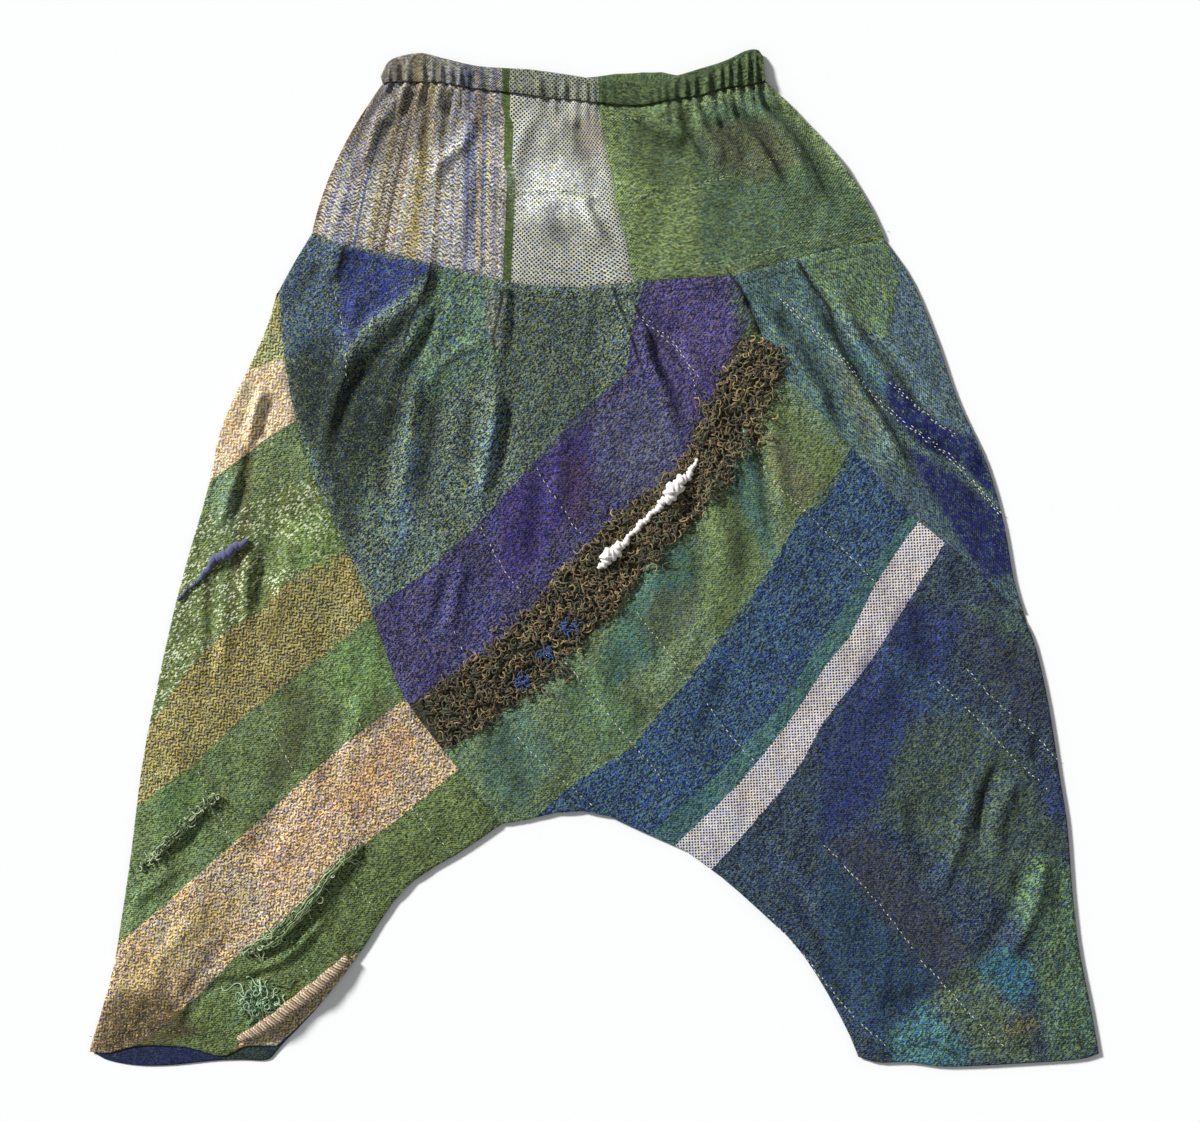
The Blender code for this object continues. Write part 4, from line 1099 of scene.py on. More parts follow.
MOTTLED = Band(srgb(124, 138, 126), srgb(22, 30, 34), 0.30, 0.95)
PURPLE = Band(srgb(94, 89, 134), srgb(18, 14, 40), 0.34, 0.75)
LOOP_GROUND = Band(srgb(86, 80, 58), srgb(32, 28, 18), 0.2, 0.9)
GREEN = Band(srgb(130, 148, 116), srgb(42, 56, 32), 0.60, 0.38)
NAPPED_BLUE = Band(srgb(76, 102, 132), srgb(14, 26, 52), 0.25, 0.95)
TEAL = Band(srgb(92, 128, 130), srgb(24, 48, 54), 0.55, 0.40)
WHITE_TAPE = Band(srgb(218, 209, 214), srgb(48, 40, 36), 0.9, 0.04, 0.0, 0.0, 0.95)
NAVY = Band(srgb(74, 90, 110), srgb(10, 15, 30), 0.55, 0.80)

BODY_CLOTH = WovenCloth(
    "body_cloth", (MOTTLED, PURPLE, LOOP_GROUND, GREEN, NAPPED_BLUE, TEAL, WHITE_TAPE, NAVY))
LEG_CLOTH = WovenCloth("leg_cloth", (
    Band(srgb(200, 194, 142), srgb(76, 76, 36), 0.8, 0.35, 0.0, 1.0),
    Band(srgb(242, 220, 190), srgb(146, 114, 78), 0.7, 0.35, 0.0, 1.0),
    Band(srgb(142, 158, 114), srgb(40, 52, 22), 0.60, 0.35, 0.06),
    Band(srgb(132, 146, 96), srgb(52, 62, 26), 0.55, 0.35, 0.95),
    Band(srgb(182, 168, 116), srgb(54, 48, 22), 0.80, 0.50, 0.0, 1.0),
    Band(srgb(134, 152, 106), srgb(38, 52, 22), 0.60, 0.35),
    Band(srgb(230, 202, 172), srgb(92, 70, 46), 0.60, 0.65, 0.0, 1.0),
    Band(srgb(130, 146, 96), srgb(34, 46, 18), 0.60, 0.35),
    Band(srgb(220, 200, 168), srgb(120, 102, 76), 0.7, 0.4, 0.0, 1.0)))
HIP_CLOTH = WovenCloth("hip_cloth", (Band(srgb(120, 142, 138), srgb(30, 46, 48), 0.50, 0.60),))
YOKE_STRIPES = (
    srgb(180, 172, 166), srgb(132, 126, 160), srgb(184, 156, 122), srgb(204, 200, 196), srgb(98, 112, 160),
    srgb(194, 190, 182), srgb(126, 104, 84), srgb(176, 156, 94), srgb(208, 206, 208), srgb(152, 148, 176))
STRIPED_BANDS = (
    Band(srgb(214, 206, 192), srgb(72, 66, 56), 0.9, 0.45, 0.0, 0.8),
    Band(srgb(96, 112, 66), srgb(56, 72, 36), 0.4, 0.15),
    Band(srgb(196, 196, 186), srgb(32, 32, 30), 1.1, 0.10, 0.0, 0.0, 1.0),
    Band(srgb(134, 150, 112), srgb(44, 58, 32), 0.60, 0.42))
STRIPED_CLOTH = WovenCloth("striped_cloth", STRIPED_BANDS, YOKE_STRIPES, 0.85, 0.0)
GREEN_CLOTH = WovenCloth("green_cloth", STRIPED_BANDS[3:] * 4)
CASING_CLOTH_FINISH = WovenCloth("casing_cloth", (
    Band(srgb(112, 108, 104), srgb(24, 22, 22), 0.85, 0.35),
    Band(srgb(84, 98, 60), srgb(46, 60, 30), 0.4, 0.15),
    Band(srgb(148, 150, 136), srgb(32, 34, 28), 1.0, 0.30, 0.0, 0.0, 0.6),
    Band(srgb(92, 108, 74), srgb(34, 46, 24), 0.55, 0.35)), YOKE_STRIPES, 0.35, 0.2)
BACK_GREEN = WovenCloth("back_green_cloth", (Band(srgb(104, 122, 86), srgb(50, 64, 38), 0.5, 0.3),))
BACK_BLUE = WovenCloth("back_blue_cloth", (Band(srgb(72, 86, 118), srgb(24, 32, 62), 0.4, 0.5),))
BACK_TEAL = WovenCloth("back_teal_cloth", (Band(srgb(84, 104, 108), srgb(32, 46, 54), 0.4, 0.5),))


@dataclass(frozen=True)
class DyeAndShadePatch:
    """A soft patch of colour on the cloth, most where it took another dye and some of painted shade:
    colour, strength, edge, outline.
    """

    colour: Colour
    strength: float
    soft: float
    outline: Run


def dye_and_shade_patches(*rows: Sequence[float]) -> tuple[DyeAndShadePatch, ...]:
    """Patches from rows of red, green, blue, strength, edge and outline."""
    return tuple(DyeAndShadePatch(srgb(*row[:3]), row[3], row[4] / MM, mm(*row[5:])) for row in rows)


BODY_DYE_AND_SHADE = dye_and_shade_patches(
    (46, 54, 112, 0.9, 4, -231, 287, -148, 268, -173, 241, -210, 215, -224, 194, -236, 221, -233, 256),
    (66, 82, 104, 0.75, 6, -270, 300, -231, 284, -234, 247, -236, 221, -224, 192, -239, 185, -285, 181,
     -293, 238),
    (56, 65, 60, 0.85, 6, -283, 179, -224, 184, -169, 232, -150, 238, -172, 209, -195, 194, -250, 93,
     -266, 109, -276, 146),
    (86, 110, 96, 0.7, 8, -148, 269, -79, 247, -89, 183, -114, 160, -151, 146, -174, 172, -167, 210),
    (112, 112, 106, 0.7, 3, -98, 247, -80, 243, -86, 192, -98, 201),
    (38, 46, 40, 0.75, 12, -243, 146, -178, 201, -160, 164, -204, 81, -224, -1, -250, 72),
    (92, 122, 152, 0.5, 6, -94, 132, -85, 129, -90, 81, -107, 54, -99, 95),
    (84, 112, 150, 0.5, 7, -167, 104, -156, 102, -175, -1, -186, -1),
    (60, 72, 66, 0.5, 12, -68, 238, 6, 238, 6, 127, -31, 54, -68, 81, -82, 164),
    (40, 50, 96, 0.75, 10, 208, -162, 286, -38, 340, -55, 313, -129, 263, -222, 208, -267),
    (58, 80, 104, 0.6, 10, 263, -80, 313, -104, 346, -132, 374, -171, 396, -204, 374, -204, 318, -149,
     282, -121),
    (68, 82, 74, 0.85, 10, 293, -149, 346, -141, 401, -193, 437, -259, 379, -314, 346, -298, 299, -259,
     263, -237, 271, -193),
    (54, 56, 70, 0.85, 10, 216, -259, 249, -246, 277, -270, 351, -364, 324, -393, 299, -369, 236, -300),
    (42, 64, 88, 0.8, 10, 208, -276, 224, -276, 263, -331, 299, -369, 324, -393, 263, -446, 236, -424,
     208, -377),
    (78, 120, 126, 0.85, 10, 269, -437, 307, -407, 351, -451, 329, -468, 280, -468),
    (90, 106, 84, 0.8, 10, 307, -407, 346, -367, 385, -410, 407, -468, 351, -457),
    (58, 102, 116, 0.8, 10, 351, -377, 374, -356, 401, -369, 407, -393, 385, -410),
    (86, 84, 60, 0.75, 10, 374, -421, 407, -418, 412, -435, 374, -443),
    (86, 110, 84, 0.8, 10, 407, -267, 443, -287, 465, -451, 418, -462, 407, -393, 401, -356, 379, -314),
    (56, 62, 76, 0.75, 10, 340, -38, 396, -38, 420, -154, 385, -149, 338, -80),
    (82, 104, 94, 0.6, 10, 346, -44, 393, -46, 401, -75, 374, -68),
    (48, 62, 112, 0.7, 10, 412, -193, 434, -215, 437, -248, 412, -231),
    (96, 110, 68, 0.75, 5, 160, 154, 232, 88, 208, 49, 180, 35, 164, 71, 139, 118),
    (94, 94, 74, 0.7, 5, 150, 123, 176, 109, 211, 63, 190, 43, 164, 71),
    (64, 98, 94, 0.75, 6, 118, 81, 139, 118, 153, 81, 168, 5, 157, -1, 130, 54),
    (90, 106, 66, 0.7, 7, 101, 72, 128, 54, 157, -1, 139, -47, 116, -75, 98, -38),
    (62, 98, 92, 0.75, 7, 52, -1, 88, 17, 96, -38, 61, -84, 15, -121, 6, -84),
    (84, 86, 66, 0.6, 6, 57, -31, 98, -24, 88, -71, 52, -84, 42, -57),
    (78, 104, 74, 0.6, 8, -31, -121, 6, -93, 42, -149, 24, -185, -17, -167),
    (60, 92, 88, 0.6, 8, -105, -167, -68, -130, -31, -185, -68, -231, -96, -213),
    (58, 46, 104, 0.75, 6, -86, 54, -31, 109, -2, 127, -4, 81, -50, -1, -86, -29),
    (82, 84, 108, 0.8, 7, 2, 127, 42, 160, 61, 150, 78, 109, 72, 66, 24, 54, -2, 81),
    (80, 70, 116, 0.8, 6, 56, 252, 98, 253, 125, 229, 130, 196, 98, 123, 72, 146, 52, 201),
    (66, 48, 72, 0.6, 8, -31, 91, -4, 95, -4, 35, -27, 26),
    (78, 96, 70, 0.6, 6, 130, 260, 153, 238, 176, 170, 162, 164, 139, 201, 125, 238),
    # These three are painted shade in the troughs of the folds on the body's left
    (34, 42, 40, 0.75, 9, -270, 196, -243, 206, -229, 173, -234, 118, -243, 81, -259, 100, -270, 146),
    (36, 44, 40, 0.75, 9, -215, 166, -192, 190, -177, 183, -192, 127, -224, 91, -229, 127),
    (40, 48, 44, 0.55, 9, -160, 146, -137, 155, -142, 81, -155, 35, -167, 54))
HIP_DYE = dye_and_shade_patches(
    (74, 96, 96, 0.8, 5, 125, 277, 182, 277, 214, 234, 248, 165, 262, 122, 253, 92, 233, 102, 173, 170,
     130, 245),
    (94, 114, 84, 0.9, 3, 187, 277, 269, 300, 281, 256, 269, 199, 235, 220, 216, 231),
    (84, 102, 116, 0.85, 4, 269, 298, 299, 242, 324, 174, 351, 113, 317, 124, 267, 193, 281, 256),
    (18, 22, 84, 1.0, 4, 265, 172, 317, 124, 351, 109, 374, 51, 339, 83, 299, 104, 269, 133),
    (24, 26, 84, 1.0, 6, 285, 105, 328, 79, 376, 42, 386, -13, 358, -23, 299, 74),
    (92, 98, 84, 0.7, 5, 214, 184, 242, 184, 267, 128, 251, 97, 225, 156),
    (44, 60, 68, 0.6, 5, 215, 232, 231, 201, 256, 160, 286, 118, 277, 116, 247, 153, 222, 192),
    (52, 88, 100, 0.6, 5, 231, 196, 245, 196, 270, 160, 263, 146, 245, 166),
    (62, 76, 96, 0.7, 8, 254, 91, 299, 74, 358, -23, 386, -13, 390, -49, 360, -38, 309, 8, 254, 72))
LEG_DYE_AND_SHADE = dye_and_shade_patches(
    (86, 82, 50, 0.7, 4, -320, 95, -311, 91, -320, -1, -326, -57, -337, -57, -329, 17),
    (98, 90, 50, 0.6, 6, -301, -26, -282, -29, -291, -84, -305, -75),
    (116, 146, 84, 0.5, 8, -280, 35, -229, 54, -224, 17, -243, -11, -270, -11),
    (98, 120, 98, 0.6, 8, -349, 72, -326, 81, -328, 26, -351, 26),
    (70, 68, 48, 0.55, 8, -285, -113, -252, -121, -270, -195, -305, -213, -289, -158),
    (108, 138, 82, 0.55, 8, -243, -75, -201, -75, -188, -121, -215, -149, -238, -121),
    (72, 74, 48, 0.5, 8, -197, -121, -178, -130, -192, -158, -215, -158),
    (176, 130, 92, 0.5, 8, -243, -222, -178, -149, -160, -167, -215, -241),
    (150, 132, 84, 0.55, 10, -431, -369, -362, -314, -316, -305, -390, -397, -429, -443),
    (206, 168, 140, 0.5, 10, -307, -268, -243, -222, -243, -268, -298, -314),
    (88, 116, 66, 0.5, 8, -408, -222, -362, -185, -353, -222, -399, -268),
    # These two darken the hem's end of the last tan band: painted shade
    (82, 68, 48, 0.65, 8, -454, -411, -399, -392, -362, -434, -436, -452, -462, -452),
    (82, 70, 46, 0.7, 8, -438, -392, -390, -406, -367, -434, -408, -454, -464, -452, -456, -434))
# The inner cloth's dark blue and dark green in the left hem's mouth, darkened further as painted shade
# under the lifted hem
HEM_DYE_AND_SHADE = dye_and_shade_patches(
    (26, 32, 64, 0.9, 6, -462, -430, -340, -430, -340, -470, -462, -470),
    (42, 56, 34, 0.95, 6, -340, -430, -288, -430, -288, -470, -340, -470))
YOKE_DYE = dye_and_shade_patches(
    (222, 226, 222, 0.55, 10, -73, 357, -31, 367, 6, 339, 6, 316, -68, 311),
    (118, 120, 114, 0.5, 8, -50, 307, 6, 307, 24, 284, -31, 279, -54, 288),
    (140, 112, 96, 0.4, 8, -17, 403, 6, 403, 9, 376, -4, 367),
    (98, 88, 80, 0.6, 8, -229, 394, -197, 436, -86, 431, -86, 403, -142, 385, -178, 367, -224, 348),
    (112, 130, 84, 0.75, 8, 6, 413, 96, 411, 98, 376, 96, 270, 42, 256, 17, 330),
    (74, 88, 62, 0.7, 10, 24, 411, 98, 411, 116, 348, 61, 339, 29, 367),
    (74, 96, 76, 0.75, 6, 96, 413, 153, 431, 254, 321, 263, 300, 190, 276, 98, 267),
    (86, 80, 62, 0.6, 8, 98, 394, 162, 403, 190, 367, 153, 344, 109, 357))


# Cloth shells


def deselect() -> None:
    """Leave nothing selected, so that an operator acts on the new piece alone."""
    if bpy.context.object is not None and bpy.context.object.mode != "OBJECT":
        bpy.ops.object.mode_set(mode="OBJECT")
    bpy.ops.object.select_all(action="DESELECT")


def edited(operator: Callable[..., Any], **settings: Any) -> None:
    """Run one edit-mode operator on the whole of the active piece."""
    bpy.ops.object.mode_set(mode="EDIT")
    bpy.ops.mesh.select_all(action="SELECT")
    operator(**settings)
    bpy.ops.object.mode_set(mode="OBJECT")


def band_index(points: np.ndarray, edges: Sequence[Run], fade: float = 0.06) -> np.ndarray:
    """Number the bands from the top down, with the share passed of each.

    Args:
        points: plan points, one a row.
        edges: the lines between the bands, in order.
        fade: how deep the first and the last band count as.

    Returns:
        A number for each point, whole at each edge.
    """
    gaps = []
    for edge in edges:
        run = np.array(edge)
        first, last = run[0] - run[1], run[-1] - run[-2]
        longer = np.vstack([run[0] + first * 12, run, run[-1] + last * 12])
        distance, _, side = nearest(points, longer)
        gaps.append(np.where(side > 0, -distance, distance))
    passed = np.array(gaps)
    index = 1.0 - np.clip(-passed[0], 0, None) / (np.clip(-passed[0], 0, None) + fade)
    for k in range(len(edges)):
        beyond = passed[k] > 0
        after = passed[k] / (passed[k] + fade)
        if k + 1 < len(edges):
            after = passed[k] / np.maximum(passed[k] + np.abs(passed[k + 1]), 1e-9)
        index = np.where(beyond, k + 1 + np.clip(after, 0.0, 0.999), index)
    return index


def line_marks(points: np.ndarray, lines: Sequence[np.ndarray], reach: float,
               fade: bool) -> tuple[np.ndarray, np.ndarray]:
    """Signed distance to the nearest of some lines, and how near it is.

    Args:
        points: plan points, one a row.
        lines: runs of points.
        reach: distance at which a line no longer counts.
        fade: whether a line fades out along its second half.

    Returns:
        The signed distance and a mask from 1 on a line to 0 at its reach.
    """
    gap = np.full(len(points), reach)
    mask = np.zeros(len(points))
    for line in lines:
        distance, share, side = nearest(points, line)
        closer = distance < np.abs(gap)
        near = 1.0 - eased(distance / reach)
        if fade:
            near = near * (1.0 - eased((share - 0.55) / 0.45))
        gap = np.where(closer, np.where(side > 0, distance, -distance), gap)
        mask = np.where(closer, near, mask)
    return gap, mask


@dataclass
class ClothShell:
    """A closed sheet of cloth on a grid of plan points, with its weave's place and marks."""

    name: str
    plan: np.ndarray
    upper: np.ndarray
    lower: np.ndarray
    weave: np.ndarray
    band: np.ndarray
    dye_and_shade_patches: tuple[DyeAndShadePatch, ...] = ()
    pleats: Sequence[np.ndarray] = ()
    stitches: Sequence[np.ndarray] = ()

    def build(self) -> bpy.types.Object:
        """Model the sheet.

        Returns:
            The closed sheet with its UV map and attributes.
        """
        rows, columns = self.plan.shape[:2]
        deselect()
        bpy.ops.mesh.primitive_grid_add(x_subdivisions=columns - 1, y_subdivisions=rows - 1, size=1.0)
        piece = bpy.context.object
        piece.name = piece.data.name = self.name
        points = self.plan.reshape(-1, 2)
        count = len(points)
        piece.data.vertices.foreach_set("co", np.column_stack([points, self.upper]).ravel())
        edited(bpy.ops.mesh.extrude_region_move, TRANSFORM_OT_translate={"value": (0.0, 0.0, -CLOTH)})
        found = np.empty(len(piece.data.vertices) * 3)
        piece.data.vertices.foreach_get("co", found)
        found = found.reshape(-1, 3)
        found[:, 2] = np.concatenate([self.upper, self.lower])
        piece.data.vertices.foreach_set("co", found.ravel())
        edited(bpy.ops.mesh.normals_make_consistent, inside=False)
        bpy.ops.object.shade_smooth()
        self.mark(piece.data, points, count)
        return piece

    def mark(self, mesh: bpy.types.Mesh, points: np.ndarray, count: int) -> None:
        """Write the place on the weave, the band, the painted crease shade, the dye and painted shade
        patches and the lines of painted shadow and shade.
        """
        corners = np.empty(len(mesh.loops), dtype=int)
        mesh.loops.foreach_get("vertex_index", corners)
        layer = mesh.uv_layers.active
        layer.name = "cloth"
        layer.data.foreach_set("uv", self.weave[corners % count].ravel())
        band = mesh.attributes.new("band", "FLOAT", "POINT")
        band.data.foreach_set("value", np.tile(self.band, 2))
        # Painted light and shade on the creases: lighter on the ridges and darker in the troughs, partly
        # the dye rubbed pale on the ridges and partly painted highlight and painted shade
        wear = mesh.attributes.new("wear", "FLOAT", "POINT")
        wear.data.foreach_set("value", np.tile(np.clip(RELIEF.creases(points) / CREASE_FULL, -1, 1), 2))
        # Painted shadow along the pleats' edges and painted shade along the stitch lines: distance to each
        # line and how near it is
        gap, near = line_marks(points, self.pleats, MARK_REACH, True)
        stitch, _ = line_marks(points, self.stitches, MARK_REACH, False)
        slit = mesh.attributes.new("slit", "FLOAT_VECTOR", "POINT")
        slit.data.foreach_set("vector", np.tile(np.column_stack([gap, near, stitch]), (2, 1)).ravel())
        # Dye patches and painted shade patches, laid over each other in order
        dye = np.zeros((count, 4))
        for patch in self.dye_and_shade_patches:
            share = inside(points, patch.outline, patch.soft) * patch.strength
            keep = dye[:, 3] * (1.0 - share)
            total = np.maximum(share + keep, 1e-6)
            both = np.array(patch.colour) * share[:, None] + dye[:, :3] * keep[:, None]
            dye[:, :3] = both / total[:, None]
            dye[:, 3] = share + keep
        colours = mesh.color_attributes.new("dye", "FLOAT_COLOR", "POINT")
        colours.data.foreach_set("color", np.tile(dye, (2, 1)).ravel())


def turned(points: np.ndarray, degrees: float) -> np.ndarray:
    """Place on a cloth whose weft runs at so many degrees from +X."""
    c, s = math.cos(math.radians(degrees)), math.sin(math.radians(degrees))
    return np.column_stack([points[:, 0] * c + points[:, 1] * s, points[:, 1] * c - points[:, 0] * s])


def beside(run: np.ndarray, offset: float) -> np.ndarray:
    """A run of points moved to its left by an offset."""
    step = np.gradient(run, axis=0)
    normal = np.column_stack([-step[:, 1], step[:, 0]])
    return run + normal / np.linalg.norm(normal, axis=1)[:, None] * offset


@dataclass
class Panel:
    """A panel of the garment: its solid, plan, cloth, cut, and what holds it."""

    name: str
    node: str
    plan: np.ndarray
    weft: float
    finish: WovenCloth
    flat: tuple[float, float]
    area: float
    held: str
    rests_on: tuple[str, ...]
    dye_and_shade_patches: tuple[DyeAndShadePatch, ...] = ()
    cloth: float = CLOTH

    def build(self) -> bpy.types.Object:
        """Model the panel; each kind has its own form."""
        raise NotImplementedError

    def declare(self, trims: Sequence[bpy.types.Object] = ()) -> None:
        """Build the panel, dress it, put it in its solid's place and hide the solid.

        Args:
            trims: pieces sewn to it; not used.
        """
        piece = self.build()
        piece.data.materials.clear()
        piece.data.materials.append(self.finish.material())
        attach(piece, "root")
        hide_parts(self.node)
        list(self.rests_on)
        LOG.info("%s: %d faces", piece.name, len(piece.data.polygons))


@dataclass
class FrontPanel(Panel):
    """A panel of the front, which lies on the back with the garment's folds in it."""

    edges: Sequence[Run] = ()
    stitches: Sequence[np.ndarray] = ()
    lie: float = FRONT_LIE

    def build(self) -> bpy.types.Object:
        """Model the panel with the garment's relief.

        Returns:
            The panel's mesh.
        """
        points = self.plan.reshape(-1, 2)
        upper, lower = RELIEF.surfaces(points, self.lie, self.cloth)
        shell = ClothShell(self.name, self.plan, upper, lower, self.place(points), self.bands(points),
                           self.dye_and_shade_patches, RELIEF.pleats, self.stitches)
        return shell.build()

    def place(self, points: np.ndarray) -> np.ndarray:
        """Place of each point on the weave."""
        return turned(points, self.weft)

    def bands(self, points: np.ndarray) -> np.ndarray:
        """Band of each point."""
        return band_index(points, self.edges) if len(self.edges) else np.full(len(points), 0.5)


@dataclass
class GatheredPanel(FrontPanel):
    """A panel of the waist, whose weave follows its own grid as it spreads from the gathers."""

    def place(self, points: np.ndarray) -> np.ndarray:
        """Place on the weave, along the panel's middle row and down its columns."""
        rows, columns = self.plan.shape[:2]
        middle = self.plan[rows // 2]
        down = travelled(self.plan[:, columns // 2])
        return np.column_stack([np.tile(travelled(middle) + middle[0, 0], rows), np.repeat(down, columns)])


@dataclass
class BackPanel(Panel):
    """A panel of the back, flat on the surface under the front."""

    def build(self) -> bpy.types.Object:
        """Model the panel.

        Returns:
            The panel's mesh.
        """
        points = self.plan.reshape(-1, 2)
        edge = nearest(points, self.border())[0]
        upper = self.cloth * (0.35 + 0.65 * np.sqrt(1.0 - (1.0 - np.clip(edge / EDGE_ROUND, 0, 1)) ** 2))
        shell = ClothShell(self.name, self.plan, upper, np.zeros(len(points)), turned(points, self.weft),
                           np.full(len(points), 0.5), self.dye_and_shade_patches)
        return shell.build()

    def border(self) -> np.ndarray:
        """The grid's outline as a closed run."""
        p = self.plan
        return np.vstack([p[0], p[1:, -1], p[-1, -2::-1], p[-2::-1, 0]])


# Loose yarns, loops and stitches


def add_mesh(name: str, verts: np.ndarray, faces: np.ndarray, colours: np.ndarray) -> bpy.types.Object:
    """Make a piece from points and four-sided faces, with a colour at each point."""
    mesh = bpy.data.meshes.new(name)
    mesh.from_pydata(verts.tolist(), [], faces.tolist())
    piece = bpy.data.objects.new(name, mesh)
    bpy.context.scene.collection.objects.link(piece)
    layer = mesh.color_attributes.new("dye", "FLOAT_COLOR", "POINT")
    layer.data.foreach_set("color", np.column_stack([colours, np.ones(len(verts))]).ravel())
    mesh.shade_smooth()
    return piece


def tube(run: np.ndarray, radii: np.ndarray, sides: int) -> tuple[np.ndarray, np.ndarray]:
    """Sweep a round section along a run and close its ends.

    Args:
        run: points along the yarn, in space.
        radii: the yarn's radius at each of them.
        sides: sides of the section.

    Returns:
        The points and the four-sided faces.
    """
    step = np.gradient(run, axis=0)
    step /= np.linalg.norm(step, axis=1)[:, None]
    across = np.cross(step, (0.0, 0.0, 1.0))
    across = np.where(np.linalg.norm(across, axis=1)[:, None] < 0.1, (1.0, 0.0, 0.0), across)
    across /= np.linalg.norm(across, axis=1)[:, None]
    up = np.cross(across, step)
    turn = math.tau * np.arange(sides) / sides
    ring = np.cos(turn)[None, :, None] * across[:, None, :] + np.sin(turn)[None, :, None] * up[:, None, :]
    body = (run[:, None, :] + ring * radii[:, None, None]).reshape(-1, 3)
    verts = np.vstack([body, run[:1] - step[:1] * radii[0] * 0.7, run[-1:] + step[-1:] * radii[-1] * 0.7])
    rings, k = len(run), np.arange(sides)
    after = (k + 1) % sides
    walls = np.vstack([
        np.column_stack([i * sides + k, (i + 1) * sides + k, (i + 1) * sides + after, i * sides + after])
        for i in range(rings - 1)])
    first, last = rings * sides, rings * sides + 1
    pairs = np.arange(0, sides, 2)
    one, two = (pairs + 1) % sides, (pairs + 2) % sides
    base = (rings - 1) * sides
    start = np.column_stack([np.full(len(pairs), first), pairs, one, two])
    end = np.column_stack([np.full(len(pairs), last), base + two, base + one, base + pairs])
    return verts, np.vstack([walls, start, end])


def gathered(name: str, parts: Sequence[tuple[np.ndarray, np.ndarray]],
             colours: Sequence[Colour]) -> bpy.types.Object:
    """Join many small closed shapes into one piece, each in its own colour."""
    offsets = np.cumsum([0] + [len(verts) for verts, _ in parts[:-1]])
    verts = np.vstack([verts for verts, _ in parts])
    faces = np.vstack([faces + offset for (_, faces), offset in zip(parts, offsets)])
    shades = np.repeat(np.array(colours), [len(part[0]) for part in parts], axis=0)
    piece = add_mesh(name, verts, faces, shades)
    deselect()
    piece.select_set(True)
    bpy.context.view_layer.objects.active = piece
    edited(bpy.ops.mesh.normals_make_consistent, inside=False)
    return piece


def spun(verts: np.ndarray, angle: float, flat: float = 1.0) -> np.ndarray:
    """Points turned about Z, with their heights scaled."""
    c, s = math.cos(angle), math.sin(angle)
    return np.column_stack([verts[:, 0] * c - verts[:, 1] * s, verts[:, 0] * s + verts[:, 1] * c,
                            verts[:, 2] * flat])


def height_at(points: np.ndarray) -> np.ndarray:
    """Height of the front's upper surface under plan points."""
    return RELIEF.surfaces(np.atleast_2d(points)[:, :2], FRONT_LIE, CLOTH)[0]


class YarnPiece:
    """What loose yarns share: a choice of colours, being dressed and being placed."""

    colours: tuple[Colour, ...]

    def pick(self, draw: np.random.Generator) -> Colour:
        """One of the yarn's colours."""
        return self.colours[draw.integers(0, len(self.colours))]

    @staticmethod
    def place(piece: bpy.types.Object, finish: "DyedYarn", node: str | None) -> bpy.types.Object:
        """Dress a yarn, and put it in a solid's place where it has one."""
        piece.data.materials.append(finish.material())
        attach(piece, "root")
        if node:
            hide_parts(node)
        LOG.info("%s: %d faces", piece.name, len(piece.data.polygons))
        return piece


@dataclass(frozen=True)
class DyedYarn:
    """Yarn whose colour is painted on it, with its fibres and twist."""

    name: str
    fibre: float = 1400.0
    contrast: float = 0.55
    sheen: float = 0.25

    def material(self) -> bpy.types.Material:
        """Build the material from the painted colour and fine noise."""
        g = Graph(self.name)
        place = g.node("ShaderNodeTexCoord", {}, {}).socket("Object")
        fibre = g.noise(place, self.fibre, 3.0)
        clump = g.noise(place, self.fibre / 5, 2.0)
        tone = 1.0 + ((fibre - 0.5) * 2.4 + (clump - 0.5) * 2.0) * self.contrast
        shade = g.grey(tone)
        colour = g.mix(1.0, g.attribute("dye").socket("Color"), shade, "MULTIPLY")
        return g.surface(colour, fibre, 0.0003, 0.92 - 0.10 * fibre, self.sheen)


